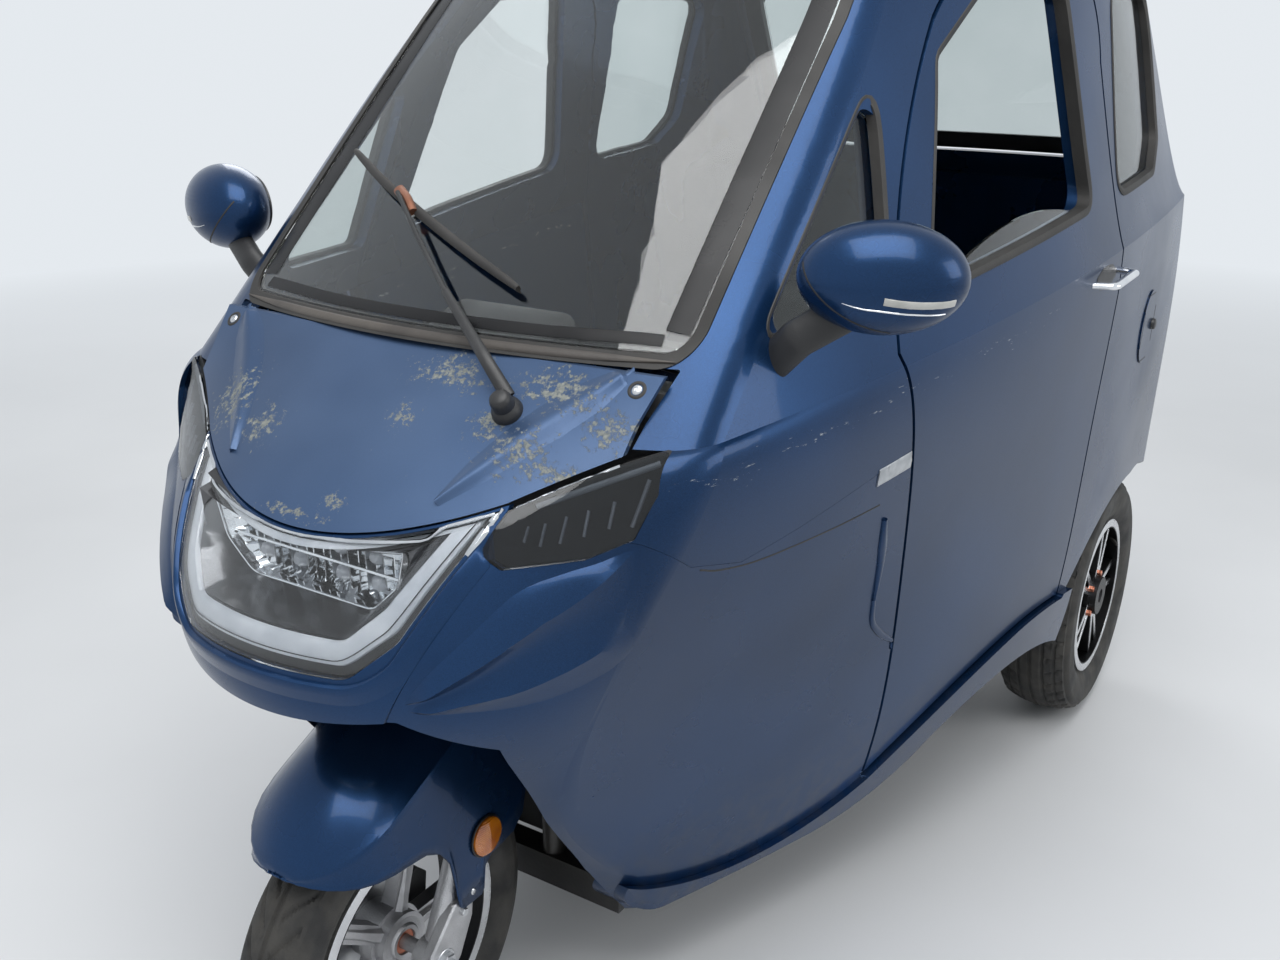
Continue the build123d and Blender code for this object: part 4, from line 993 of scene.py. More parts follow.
clamp_line = [(-0.846, 0.222), (-0.8545, 0.236), (-0.848, 0.256), (-0.8, 0.306), (-0.775, 0.309),
              (-0.763, 0.296), (-0.766, 0.272), (-0.793, 0.222), (-0.806, 0.2105), (-0.832, 0.2105)]
clamp = loft([[Vector((x, y, z)) for y, z in clamp_line] for x in (0.0815, 0.0985)])
both(piece("axle_clamp_left", *clamp, "steering", cast_silver, "cast_alloy", edge=0.0028))
axle_end = (0.0985, FRONT_Y, FRONT_Z)
nut = [turned([(0.0, 0.016), (0.0068, 0.016), (0.0076, 0.0148), (0.0076, 0.009)], (0.0975, FRONT_Y, FRONT_Z),
              (1, 0, 0), 20),
       turned([(0.0, 0.0095), (0.0125, 0.0095), (0.0137, 0.0082), (0.0137, 0.001), (0.0162, 0.0008),
               (0.0162, -0.0008)], axle_end, (1, 0, 0), 6),
       turned([(0.0168, 0.0012), (0.0178, 0.0004), (0.0178, -0.001), (0.0, -0.001)], axle_end, (1, 0, 0), 30)]
both(piece("axle_nut_left", *joined(*nut), "steering", bright_steel, "disc_steel", sharp=25))
pinch = turned([(0.0, 0.006), (0.0052, 0.006), (0.006, 0.005), (0.006, 0.0)], (0.0985, -0.786, 0.289),
               (1, 0, 0), 6)
both(piece("clamp_bolt_left", *pinch, "steering", bright_steel, "disc_steel", sharp=25))
print("guard fittings made")

# %% [markdown]
# The nose panels are not smooth on the real car. Presses have pushed folds into the cheeks, a chamfer under
# the lamp and two ribs into the hood. A fold is built as a patch between lines drawn on the photograph. Every
# point of the patch drops to the skin and rises from it by a height, which is nothing at the border and most
# on the fold line.

# %% Pressed folds on the cheeks


def pressed(name, lines, heights, eases, skin, finish, steps=40, between_steps=6, taper=(0.12, 0.2),
            slot="body_paint"):
    """A patch over rows of pixels; heights are metres above the skin on each row, tapered at both ends."""
    rows = [spread(flowing(by_pixels(line, skin), 6), steps) for line in lines]
    loops, levels = [], []
    for index in range(len(rows) - 1):
        last = index == len(rows) - 2
        for step in range(between_steps + (1 if last else 0)):
            t = step / between_steps
            loops.append([a.lerp(b, t) for a, b in zip(rows[index], rows[index + 1])])
            kind = eases[index]
            eased = {"soft": t * t * (3 - 2 * t), "line": t, "in": t * t, "out": 1 - (1 - t) ** 2}[kind]
            levels.append(heights[index] + (heights[index + 1] - heights[index]) * eased)
    shaped = []
    for loop, level in zip(loops, levels):
        line = []
        for place_index, point in enumerate(loop):
            share = place_index / (steps - 1)
            rise = min(1.0, share / taper[0]) if taper[0] else 1.0
            fall = min(1.0, (1 - share) / taper[1]) if taper[1] else 1.0
            grow = rise * rise * (3 - 2 * rise) * fall * fall * (3 - 2 * fall)
            spot, outward = drop(point, skin)
            line.append(spot + outward * (level * grow - 0.0006 * (1 - min(1.0, level * grow / 0.002))))
        shaped.append(line)
    return piece(name, *loft(shaped, closed=False), "car_body", finish, slot, sharp=24)


cheek_skin = skin_of("nose_panel", "front_lower_panels", "front_fenders")
UPPER_TOP = [(402, 704), (430, 672), (470, 634), (516, 592), (560, 574), (600, 562), (634, 546)]
UPPER_FOLD = [(403, 706), (440, 686), (490, 656), (540, 622), (580, 596), (615, 568), (640, 547)]
VALLEY = [(405, 709), (450, 692), (505, 667), (555, 641), (590, 624), (618, 606), (642, 576)]
LOWER_FOLD = [(408, 713), (460, 702), (510, 690), (548, 675), (588, 654), (612, 637), (628, 620)]
LOWER_END = [(409, 717), (464, 716), (520, 711), (566, 699), (612, 676), (640, 652), (652, 630)]
cheek = pressed("cheek_folds_left", [UPPER_TOP, UPPER_FOLD, VALLEY, LOWER_FOLD, LOWER_END],
                [0.0, 0.013, 0.001, 0.009, 0.0], ["line", "out", "in", "out"], cheek_skin, paint)
both(cheek)
print("cheek patch faces", len(cheek.data.polygons))

# %% The chamfer under the lamp and the hood ribs
chin_skin = skin_of("nose_panel")
LAMP_MIDDLE = Vector((0, LENS_Y, 0.83))
CHIN_TOP = [(0.2345, 0.885), (0.212, 0.838), (0.1835, 0.776), (0.166, 0.746), (0.1325, 0.7245),
            (0.09, 0.7215), (0.04, 0.7212), (0, 0.7212)]


def front_points(points, skin):
    """Front view points on a skin of the nose."""
    return [from_front(x, z, skin, -0.95) for x, z in points]


def chamfer(name, outline, out_by, height, skin, finish, steps=64):
    """A raised lip along an outline: it leaves the skin softly, peaks, and turns in at the lamp."""
    top = spread(flowing(front_points(outline, skin), 5), steps)
    loops = []
    for share, level in ((0.0, 0.0), (0.03, 0.55), (0.1, 0.95), (0.2, 1.0), (0.45, 0.62), (0.7, 0.26),
                         (0.88, 0.06), (1.0, -0.08)):
        line = []
        for index, point in enumerate(top):
            heading = (top[min(index + 1, steps - 1)] - top[max(index - 1, 0)]).normalized()
            spot, outward = drop(point, skin)
            away = outward.cross(heading).normalized()
            if away.dot(point - LAMP_MIDDLE) < 0:
                away = -away
            foot, out = drop(spot + away * out_by * share, skin)
            edge = min(1.0, 6 * index / steps) if outline[0][0] > 0.2 else 1.0
            line.append(foot + out * (height * level * edge - 0.0003))
        loops.append(line)
    return piece(name, *loft(loops, closed=False), "car_body", finish, "body_paint", sharp=28)


both(chamfer("chin_lip_left", CHIN_TOP, 0.03, 0.006, chin_skin, paint))
hood_skin = skin_of("hood")
rib_line = by_pixels([(634, 372), (600, 391), (562, 414), (520, 441), (474, 474), (436, 503)], hood_skin)
RIB = ((-1, -0.1), (-0.8, 0.05), (-0.55, 0.3), (-0.3, 0.75), (-0.12, 0.97), (0, 1), (0.12, 0.97), (0.3, 0.75),
       (0.55, 0.3), (0.8, 0.05), (1, -0.1))
both(piece("hood_rib_left", *laid(flowing(rib_line, 8), [0.02, 0.05, 0.056, 0.05, 0.036, 0.012], 0.0055,
                                  hood_skin, RIB, 60), "car_body", hood_paint, "body_paint", sharp=40))
screw_spot = seen_at(637, 390, hood_skin)
screw_out = drop(screw_spot, hood_skin)[1]
recess = turned([(0.0068, -0.001), (0.0072, 0.0006), (0.0086, 0.0012), (0.0102, 0.0009), (0.0116, -0.0004)],
                screw_spot, screw_out, 36)
both(piece("screw_recess_left", *recess, "car_body", seal_rubber, "seal_rubber"))
both(piece("hood_screw_left", *screw_head(screw_spot, screw_out, 0.0062, 0.0022), "car_body", bright_steel,
           "disc_steel"))
print("chin lip, ribs and screws made")

# %% [markdown]
# The wiper stands on the hood. A cap covers its pivot, a channel arm with a rod reaches up to the glass, and
# a clip holds the blade, whose rubber lip follows the curve of the windshield.

# %% The wiper
glass_skin = skin_of("windshield")
PIVOT = Vector((0.188, -0.762, 0.984))
pivot_foot, pivot_out = drop(PIVOT, hood_skin)
cap = turned([(0.0, 0.03), (0.008, 0.0295), (0.0115, 0.027), (0.013, 0.022), (0.0135, 0.012), (0.0165, 0.009),
              (0.0185, 0.002), (0.019, -0.003)], pivot_foot, pivot_out, 32)
arm_line = [PIVOT + Vector((0, 0.002, 0.017)), Vector((0.15, -0.752, 1.038)), Vector((0.04, -0.69, 1.092)),
            Vector((-0.05, -0.634, 1.139)), Vector((-0.132, -0.58, 1.184))]
arm_way = rounded(arm_line, 0.03)
channel_end = int(len(arm_way) * 0.62)
channel = tube(spread(arm_way[:channel_end], 18), [0.0085 - 0.0002 * k for k in range(18)], 12, 0.55,
               (0.3, -0.75, 0.6))
rod = tube(spread(arm_way[channel_end - 2:], 12), 0.0032, 10)
blade_way = flowing([Vector((0.12, -0.652, 1.097)), Vector((0.02, -0.626, 1.13)),
                     Vector((-0.085, -0.588, 1.16)), Vector((-0.19, -0.546, 1.192)),
                     Vector((-0.29, -0.494, 1.222))], 10)


def on_glass(point, lift):
    """A point held a little above the windshield."""
    spot, outward = drop(point, glass_skin)
    return spot + outward * lift


spine = [on_glass(point, 0.0115) for point in blade_way]
spine_form = tube(spread(spine, 40), [0.0035 + 0.0035 * math.sin(math.pi * k / 39) ** 0.4 for k in range(40)],
                  10, 0.7, (0.2, -0.8, 0.6))
# Height above the glass and distance from the blade's middle, round the section of its rubber
LIP_SECTION = ((0.0095, 0.0032), (0.0065, 0.0028), (0.006, 0.0012), (0.0006, 0.0006), (0.0006, -0.0006),
               (0.006, -0.0012), (0.0065, -0.0028), (0.0095, -0.0032))
blade_line = spread(blade_way, 40)
lip_loops = []
for index, point in enumerate(blade_line):
    spot, outward = drop(point, glass_skin)
    ahead = (blade_line[min(index + 1, 39)] - blade_line[max(index - 1, 0)]).normalized()
    beside = outward.cross(ahead).normalized()
    lip_loops.append([spot + outward * lift + beside * wide for lift, wide in LIP_SECTION])
wiper_made = piece("wiper_arm", *joined(cap, channel, rod), "car_body", black_plastic, "black_plastic",
                   sharp=40)
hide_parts("wiper")
piece("wiper_blade", *joined(spine_form, loft(lip_loops)), "car_body", seal_rubber, "seal_rubber")
clip_spot = on_glass(Vector((-0.128, -0.574, 1.178)), 0.014)
clip_way = [clip_spot + Vector((0.03, -0.0215, -0.013)), clip_spot + Vector((0.01, -0.008, 0.0)),
            clip_spot + Vector((-0.018, 0.008, 0.01))]
piece("wiper_clip", *tube(flowing(clip_way, 5), 0.0078, 12, 0.62, (0.2, -0.8, 0.6)), "car_body", copper_clip,
      "black_plastic")
print("wiper made")

# %% [markdown]
# The tyres are worn road tyres: a round crown with a centre groove, slanted short cuts on both sides of it
# and a plain sidewall with a raised ring. One profile is spun round the axle, and the cuts are pressed in
# where the turning angle and the distance from the middle say so.

# %% Tyres with their tread


def groove(value, middle, half, soft):
    """1 inside a groove, 0 outside it, with soft walls."""
    return max(0.0, min(1.0, (half + soft - abs(value - middle)) / soft))


def treaded(name, centre, radius, width, bead, body, node, cuts, depth):
    """A tyre in the place of a CAD tyre: same crown height, width and beads."""
    lip, half = 0.165, width / 2
    profile = [(-bead, 0.1535), (-bead, 0.159), (-bead - 0.0008, lip)]
    for angle in np.linspace(-70, 70, 9):
        share = (angle + 70) / 140
        profile.append((-bead - (half - bead) * math.sin(math.pi * min(1.0, share * 0.72)) ** 0.8
                        if share < 0.69 else -half, lip + (radius - 0.03 - lip) * share))
    shoulder = [(-half * math.cos(a) ** 0.62, radius - 0.03 + 0.019 * math.sin(a))
                for a in np.linspace(0.1, 0.9, 7)]
    crown_start = -0.86 * half
    crown = []
    for x in np.linspace(crown_start, -crown_start, 61):
        crown.append((x, radius - 0.0125 * abs(x / crown_start) ** 2.2))
    left = profile + [p for p in shoulder if p[0] < crown_start - 0.001]
    line = left + crown + [(-x, r) for x, r in left[::-1]]
    around = 288
    loops = []
    for step in range(around):
        turn_share = step / around
        angle = 2 * math.pi * turn_share
        loop = []
        for x, r in line:
            cut = 0.0
            if abs(x) <= abs(crown_start) + 1e-6:
                cut = groove(x, 0.0, 0.0022, 0.0016)
                for place_x in cuts["rings"]:
                    cut = max(cut, groove(abs(x), place_x, 0.002, 0.0016))
                slant = (turn_share * cuts["count"] + cuts["slope"] * abs(x) / half
                         + (0.5 if x > 0 else 0.0)) % 1.0
                low, high = cuts["reach"]
                inside = groove(abs(x) / half, (low + high) / 2, (high - low) / 2, 0.05)
                cut = max(cut, inside * groove(slant, 0.5, 0.07, 0.07))
            size = r - depth * cut
            loop.append(Vector((centre[0] + x, centre[1] + size * math.cos(angle),
                                centre[2] + size * math.sin(angle))))
        loops.append(loop)
    loops.append(loops[0])
    made = piece(name, *loft(loops, closed=False), body, tyre_rubber, "tyre", sharp=30)
    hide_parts(node)
    return made


FRONT_CUTS = {"rings": (), "count": 30, "slope": 1.6, "reach": (0.2, 0.72)}
REAR_CUTS = {"rings": (0.024, 0.046), "count": 44, "slope": 0.9, "reach": (0.42, 0.84)}
treaded("front_tyre_tread", (0, FRONT_Y, FRONT_Z), FRONT_Z, 0.1, 0.0352, "front_wheel", "front_tyre",
        FRONT_CUTS, 0.0032)
for side, word in SIDES:
    treaded("rear_tyre_tread_" + word, (side * REAR_X, REAR_Y, REAR_Z), REAR_Z, 0.145, 0.0572,
            "rear_wheel_" + word, "rear_tyre_" + word, REAR_CUTS, 0.004)
print("tyres made")

# %% [markdown]
# The rear wheels are black castings whose faces were cut bright on a lathe: five pairs of thin spokes, the
# star round the hub and the lip. The front wheel is plain cast silver with a bright lip, and its hub shows a
# bearing seat.

# %% Bright faces on the rear wheels


def wheel_point(side, out, radius, angle):
    """A point on a rear wheel: distance out from its middle plane, radius and angle."""
    return Vector((side * (REAR_X + out), REAR_Y + radius * math.cos(angle),
                   REAR_Z + radius * math.sin(angle)))


def spoke_ways(angle):
    """The directions along and across a spoke at an angle."""
    return Vector((0, math.cos(angle), math.sin(angle))), Vector((0, -math.sin(angle), math.cos(angle)))


def plate(outline, side, thickness):
    """A flat outline made a plate, thicker towards the outside of the car."""
    shift = Vector((side * thickness, 0, 0))
    return loft([outline, [point + shift for point in outline]])


REAR_FACE = 0.0528
# A spoke by radius and half width, an arm of the hub's star by radius and turn, the valve by distance out and
# radius
SPOKE = ((0.038, 0.0062), (0.06, 0.0058), (0.09, 0.005), (0.12, 0.0045), (0.143, 0.0052))
STAR = ((0.03, -0.5), (0.052, -0.3), (0.066, -0.16), (0.061, 0.0), (0.066, 0.16), (0.052, 0.3), (0.03, 0.5))
VALVE = ((0.05, 0.146), (0.058, 0.14), (0.066, 0.132))


def rear_faces(side):
    """Cut faces of one rear wheel: ten spokes, the hub star and the lip ring."""
    centre = (side * REAR_X, REAR_Y, REAR_Z)
    parts = []
    for arm in range(5):
        middle = 2 * math.pi * arm / 5
        for twin in (-1, 1):
            angle = middle + math.radians(9) * twin
            along, across = spoke_ways(angle)
            hub = Vector((centre[0] + side * REAR_FACE, centre[1], centre[2]))
            outline = [hub + along * radius + across * half for radius, half in SPOKE]
            outline += [hub + along * radius - across * half for radius, half in SPOKE[::-1]]
            parts.append(plate(outline, side, 0.0016))
        web = [wheel_point(side, REAR_FACE, radius, middle + turn_by) for radius, turn_by in STAR]
        parts.append(plate(web, side, 0.0012))
    lip_centre = (centre[0] + side * 0.0615, centre[1], centre[2])
    parts.append(ring([(0.1475, 0.0), (0.1475, 0.0022), (0.1605, 0.0022), (0.1625, 0.0008), (0.1625, -0.004)],
                      lip_centre, (side, 0, 0), 72))
    return joined(*parts)


def rear_hub(side):
    """Centre cap and the shadowed bolt seats round it."""
    centre = (side * (REAR_X + REAR_FACE), REAR_Y, REAR_Z)
    return joined(turned([(0.0, 0.0105), (0.013, 0.01), (0.018, 0.0082), (0.0205, 0.005), (0.0212, 0.0012),
                          (0.026, 0.001), (0.0275, -0.0006)], centre, (side, 0, 0), 40),
                  ring([(0.0282, 0.002), (0.0305, 0.0028), (0.033, 0.002), (0.034, -0.001)], centre,
                       (side, 0, 0), 40))


def rear_nuts(side):
    """Five nuts, in line with the pairs of spokes."""
    parts = []
    for arm in range(5):
        spot = wheel_point(side, REAR_FACE + 0.0004, 0.0465, 2 * math.pi * arm / 5)
        parts.append(turned([(0.0, 0.0095), (0.005, 0.0092), (0.0066, 0.008), (0.0068, 0.0006),
                             (0.0088, 0.0004)], spot, (side, 0, 0), 6))
    return joined(*parts)


for side, word in SIDES:
    body = "rear_wheel_" + word
    piece("rear_wheel_face_" + word, *rear_faces(side), body, cut_silver, "cast_alloy", sharp=30, edge=0.0004)
    piece("rear_hub_cap_" + word, *rear_hub(side), body, cast_silver, "cast_alloy", sharp=35)
    piece("wheel_nuts_" + word, *rear_nuts(side), body, red_steel, "disc_steel", sharp=25)
    stem = [wheel_point(side, out, radius, 0.63) for out, radius in VALVE]
    piece("valve_" + word, *tube(stem, [0.0042, 0.0036, 0.0028], 12), body, seal_rubber, "seal_rubber")
print("rear wheel faces made")

# %% Front wheel lips, hub and brake caliper


def front_rings(profile, out, sides):
    """The same ring on both sides of the front wheel."""
    return joined(*[ring(profile, (side * out, FRONT_Y, FRONT_Z), (side, 0, 0), sides) for side in (-1, 1)])


LIP = [(0.1475, 0.0), (0.1475, 0.002), (0.1605, 0.002), (0.1625, 0.0008), (0.1625, -0.004)]
HUB = [(0.017, 0.0), (0.018, 0.0035), (0.0235, 0.0042), (0.025, 0.0028), (0.026, 0.0), (0.0335, -0.0002),
       (0.0345, -0.0035), (0.036, -0.005)]
piece("front_wheel_lips", *front_rings(LIP, 0.0392, 72), "front_wheel", cut_silver, "cast_alloy", sharp=30)
piece("front_hub_rings", *front_rings(HUB, 0.0265, 44), "front_wheel", cast_silver, "cast_alloy", sharp=30)
# Radius, half width and height of a rib, from the hub outward
RIB_ROWS = ((0.034, 0.0118, 0.009), (0.05, 0.0095, 0.0075), (0.08, 0.0072, 0.0045), (0.115, 0.0068, 0.003),
            (0.142, 0.0105, 0.0015))
ribs = []
for arm in range(5):
    for side in (-1, 1):
        along, across = spoke_ways(2 * math.pi * arm / 5)
        sections = []
        for radius, half, height in RIB_ROWS:
            spot = Vector((side * 0.0112, FRONT_Y, FRONT_Z)) + along * radius
            top = spot + Vector((side * height, 0, 0))
            sections.append([spot + across * half, top + across * half * 0.55, top - across * half * 0.55,
                             spot - across * half])
        ribs.append(loft(sections))
piece("front_spoke_ribs", *joined(*ribs), "front_wheel", cast_silver, "cast_alloy", sharp=30, edge=0.0012)
BEARING = [(0.0105, 0.001), (0.0135, 0.0016), (0.0168, 0.001), (0.0172, -0.002)]
piece("hub_bearings", *front_rings(BEARING, 0.0262, 36), "front_wheel", red_steel, "disc_steel")
caliper_line = [(-0.768, 0.262), (-0.742, 0.282), (-0.722, 0.262), (-0.727, 0.222), (-0.748, 0.196),
                (-0.772, 0.205), (-0.779, 0.236)]
caliper = loft([[Vector((x, y, z)) for y, z in caliper_line] for x in (-0.068, -0.062, -0.045, -0.0405)])
pad = loft([[Vector((x, y, z)) for y, z in caliper_line] for x in (-0.0312, -0.0245)])
piece("brake_caliper", *joined(caliper, pad), "steering", black_plastic, "black_plastic", edge=0.002)
print("front wheel details made")

# %% [markdown]
# The mirror heads stay as they are. What the photograph adds is a pale indicator strip with a bright line, a
# dark joint round the stalk and the mirror glass at the back. A strip is laid on the head through pixels of
# the photograph.

# %% Mirror strips, stalk joints and glass
mirror_skin = skin_of("mirror_heads")
pale_strip = new_finish("pale_strip", (0.5, 0.5, 0.47), 0.25, Coat_Weight=0.6)
mottle(pale_strip, (0.44, 0.44, 0.41), (0.56, 0.55, 0.52), 30.0)
grain(pale_strip, 300.0, 0.0001)
strip_line = by_pixels([(884, 302), (905, 305), (930, 306), (955, 303)], mirror_skin)
BAND = ((-1, 0), (-0.92, 0.7), (-0.75, 1), (0, 1.05), (0.75, 1), (0.92, 0.7), (1, 0))
both(piece("mirror_strip_left", *laid(flowing(strip_line, 8), 0.0085, 0.0012, mirror_skin, BAND, 24),
           "car_body", pale_strip, "lamp_lens"))
line_up = by_pixels([(842, 303), (862, 309), (885, 312), (920, 315), (945, 314), (962, 306)], mirror_skin)
both(piece("mirror_line_left", *laid(flowing(line_up, 8), [0.0008, 0.0022, 0.0024, 0.0016], 0.0007,
                                     mirror_skin, BAND, 40), "car_body", chrome, "handle_chrome"))
split_line = by_pixels([(803, 262), (812, 288), (845, 318), (890, 333), (930, 330), (958, 312)], mirror_skin)
both(piece("mirror_joint_left", *laid(flowing(split_line, 8), 0.0022, 0.0003, mirror_skin, BAND, 40),
           "car_body", seal_rubber, "seal_rubber"))
MIRROR_CENTRE, MIRROR_TURN = Vector((0.527, -0.532, 1.132)), math.radians(22)
mirror_frame = Matrix.Translation(MIRROR_CENTRE) @ Matrix.Rotation(MIRROR_TURN, 4, "Z")


def mirror_loop(wide, high, back):
    """An oval on the back of the mirror head."""
    return [mirror_frame @ Vector((wide * math.cos(a), back, high * math.sin(a))) for a in circle(64)]


# Half width, half height and distance back of each oval
MIRROR_RIM = ((0.0612, 0.041, 0.0425), (0.0622, 0.042, 0.0452), (0.0605, 0.0404, 0.0466),
              (0.0575, 0.0375, 0.0462), (0.0565, 0.0365, 0.0446))
MIRROR_GLASS = ((0.0572, 0.0372, 0.0447), (0.04, 0.026, 0.0453), (0.02, 0.013, 0.0456),
                (0.0004, 0.0003, 0.0457))
rim_loops = [mirror_loop(*row) for row in MIRROR_RIM]
both(piece("mirror_rim_left", *loft(rim_loops, caps=False), "car_body", black_plastic, "black_plastic"))
glass_loops = [mirror_loop(*row) for row in MIRROR_GLASS]
mirror_silver = new_finish("mirror_silver", (0.82, 0.84, 0.85), 0.03, 1.0)
mottle(mirror_silver, (0.8, 0.82, 0.83), (0.85, 0.87, 0.88), 5.0)
smudge(mirror_silver, 0.02, 0.05)
both(piece("mirror_glass_left", *loft(glass_loops, caps=False), "car_body", mirror_silver, "glazing"))
collar = tube([Vector((0.5, -0.549, 1.092)), Vector((0.5065, -0.5465, 1.1)), Vector((0.511, -0.5445, 1.108))],
              [0.0205, 0.0235, 0.022], 28, 0.8, (1, 0, 0))
both(piece("stalk_collar_left", *collar, "car_body", black_plastic, "black_plastic"))
print("mirror details made")

# %% [markdown]
# Every window has a black rubber channel round it, and the windshield has a black border printed inside the
# glass. A channel follows the window's outline in the side view. Its points lie on the body just outside the
# opening, and its profile steps from a small lip on the paint down into the opening.

# %% Window channels


def side_loop(corners, radius, grow, count=140):
    """A closed rounded outline in the side view, grown outward by a distance, as (y, z) points."""
    middle = Vector((sum(c[0] for c in corners), sum(c[1] for c in corners))) / len(corners)
    points = [Vector(c) for c in corners]
    line = rounded([(points[-1] + points[0]) / 2, *points, (points[-1] + points[0]) / 2], radius)
    line = [p.to_2d() if len(p) > 2 else p for p in line]
    line = [p.to_2d() for p in spread([Vector((p.x, p.y, 0)) for p in line], count + 1)[:-1]]
    grown = []
    for index, point in enumerate(line):
        heading = (line[(index + 1) % count] - line[index - 1]).normalized()
        normal = Vector((heading.y, -heading.x))
        if normal.dot(point - middle) < 0:
            normal = -normal
        grown.append(point + normal * grow)
    return grown


def on_side(points, skin, inward):
    """Side view points moved to the left side of a skin, and in from it."""
    found = []
    for point in points:
        hit = skin.ray_cast(Vector((BESIDE, point.x, point.y)), INWARD)[0]
        if hit is None:
            hit = skin.find_nearest(Vector((0.5, point.x, point.y)))[0]
        found.append(Vector((hit.x - inward, point.x, point.y)))
    return found


def channel_round(name, corners, radius, skin, body, finish=None, lip=0.004, depth=0.02, wide=0.007):
    """A rubber channel round a window of the left side."""
    outer = side_loop(corners, radius, 0.004)
    seat = on_side(outer, skin, 0.0)
    rows = []
    for grow, inward in ((lip + 0.0005, 0.0003), (lip, -0.0012), (lip * 0.3, -0.0018), (-wide * 0.5, -0.0012),
                         (-wide, 0.0008), (-wide, depth), (-0.0005, depth)):
        outline = side_loop(corners, radius, grow)
        rows.append([Vector((base.x - inward, point.x, point.y)) for base, point in zip(seat, outline)])
    return piece(name, *loft(rows, caps=False), body, finish or seal_rubber, "seal_rubber")


DOOR_WINDOW = [(-0.262, 1.062), (0.268, 1.114), (0.215, 1.448), (-0.02, 1.43), (-0.15, 1.35)]
QUARTER_WINDOW = [(-0.59, 1.052), (-0.352, 1.052), (-0.284, 1.33)]
REAR_WINDOW = [(0.395, 1.118), (0.64, 1.134), (0.705, 1.19), (0.722, 1.44), (0.412, 1.44)]
door_skin = skin_of("door_frame_left")
left_channel = channel_round("door_window_channel_left", DOOR_WINDOW, 0.038, door_skin, "door_left")
other_side(left_channel, "door_window_channel_right", "door_right")
both(channel_round("quarter_channel_left", QUARTER_WINDOW, 0.02, skin_of("front_pillars"), "car_body",
                   depth=0.014))
both(channel_round("rear_window_channel_left", REAR_WINDOW, 0.04, skin_of("rear_pillars"), "car_body",
                   depth=0.014))
print("window channels made")

# %% The windshield border
border_finish = plain_black("glass_border", (0.006, 0.006, 0.007), (0.01, 0.01, 0.011), 0.3, 30.0, 0.00001)
shader_of(border_finish).inputs["Specular IOR Level"].default_value = 0.25
FLAT_BAND = ((-1, 0.4), (-0.9, 1), (0, 1), (0.9, 1), (1, 0.4))


def border_line(points):
    """Front view points on the windshield."""
    return [from_front(x, z, glass_skin, -0.4) for x, z in points]


side_border = border_line([(0.33, 1.066), (0.327, 1.16), (0.323, 1.28), (0.318, 1.39), (0.306, 1.5)])
both(piece("glass_border_left", *laid(flowing(side_border, 8), [0.03, 0.034, 0.034, 0.032], 0.0003,
                                      glass_skin, FLAT_BAND, 50), "car_body", border_finish, "black_plastic"))
top_border = border_line([(-0.3, 1.506), (-0.15, 1.507), (0, 1.507), (0.15, 1.507), (0.3, 1.506)])
piece("glass_border_top", *laid(flowing(top_border, 8), 0.026, 0.0003, glass_skin, FLAT_BAND, 50), "car_body",
      border_finish, "black_plastic")
low_border = border_line([(-0.318, 1.058), (-0.16, 1.057), (0, 1.057), (0.16, 1.057), (0.318, 1.058)])
piece("glass_border_low", *laid(flowing(low_border, 8), 0.016, 0.0003, glass_skin, FLAT_BAND, 60), "car_body",
      border_finish, "black_plastic")
seal_skin = skin_of("windshield_seal")
SEAL_Z = 1.0395
low_line = [from_front(x, SEAL_Z, seal_skin, -0.7) for x in np.linspace(-0.344, 0.344, 41)]
strip_widths = [0.002, 0.0115, 0.0125, 0.0125, 0.0125, 0.0125, 0.0125, 0.0115, 0.002]
piece("lower_seal_strip", *laid(low_line, strip_widths, 0.0022, seal_skin, RIDGE, 60), "car_body", lower_seal,
      "seal_rubber")
print("windshield border made")

# %% [markdown]
# The seats are four pads of black grained vinyl. A pad could be a rounded box, but stuffed cloth has crowned
# faces, sides that pull in between the corners, and seams that sink. Each starts as a slightly smaller box on
# the pad's own axes, remeshed to even cells. The cloth simulation then blows it up, a cap keeps every point
# near its start, and the sewn channels are pressed in afterwards, because a remesh would lose anything so
# narrow.

# %% Vinyl and the pad helpers
seat_vinyl = new_finish("seat_vinyl", (0.013, 0.013, 0.014), 0.46, Coat_Weight=0.12, Coat_Roughness=0.35)
mottle(seat_vinyl, (0.011, 0.011, 0.012), (0.02, 0.02, 0.021), 7.0)
smudge(seat_vinyl, 0.38, 0.56)
grain(seat_vinyl, 620.0, 0.00025)
piping_finish = plain_black("seat_piping", (0.009, 0.009, 0.01), (0.014, 0.014, 0.015), 0.38, 300.0, 0.00008)
PAD_CELL, PAD_MARGIN, PAD_CAP, PAD_STEPS = 0.009, 0.011, 0.022, 20


def still_mesh(source):
    """A plain copy of what an object looks like with its modifiers."""
    return bpy.data.meshes.new_from_object(source.evaluated_get(bpy.context.evaluated_depsgraph_get()))


def pad_mesh(half):
    """A remeshed rounded box, half as large as given each way, less the margin."""
    inner = [h - PAD_MARGIN for h in half]
    box = bmesh.new()
    bmesh.ops.create_cube(box, size=2)
    bmesh.ops.scale(box, vec=inner, verts=box.verts)
    bmesh.ops.bevel(box, geom=box.edges[:], offset=min(inner) * 0.62, segments=4, profile=0.5, affect="EDGES")
    start = bpy.data.meshes.new("pad_start")
    box.to_mesh(start)
    box.free()
    holder = bpy.data.objects.new("pad_start", start)
    bpy.context.scene.collection.objects.link(holder)
    cells = holder.modifiers.new("cells", "REMESH")
    cells.mode, cells.voxel_size = "VOXEL", PAD_CELL
    even = still_mesh(holder)
    bpy.data.objects.remove(holder)
    return even


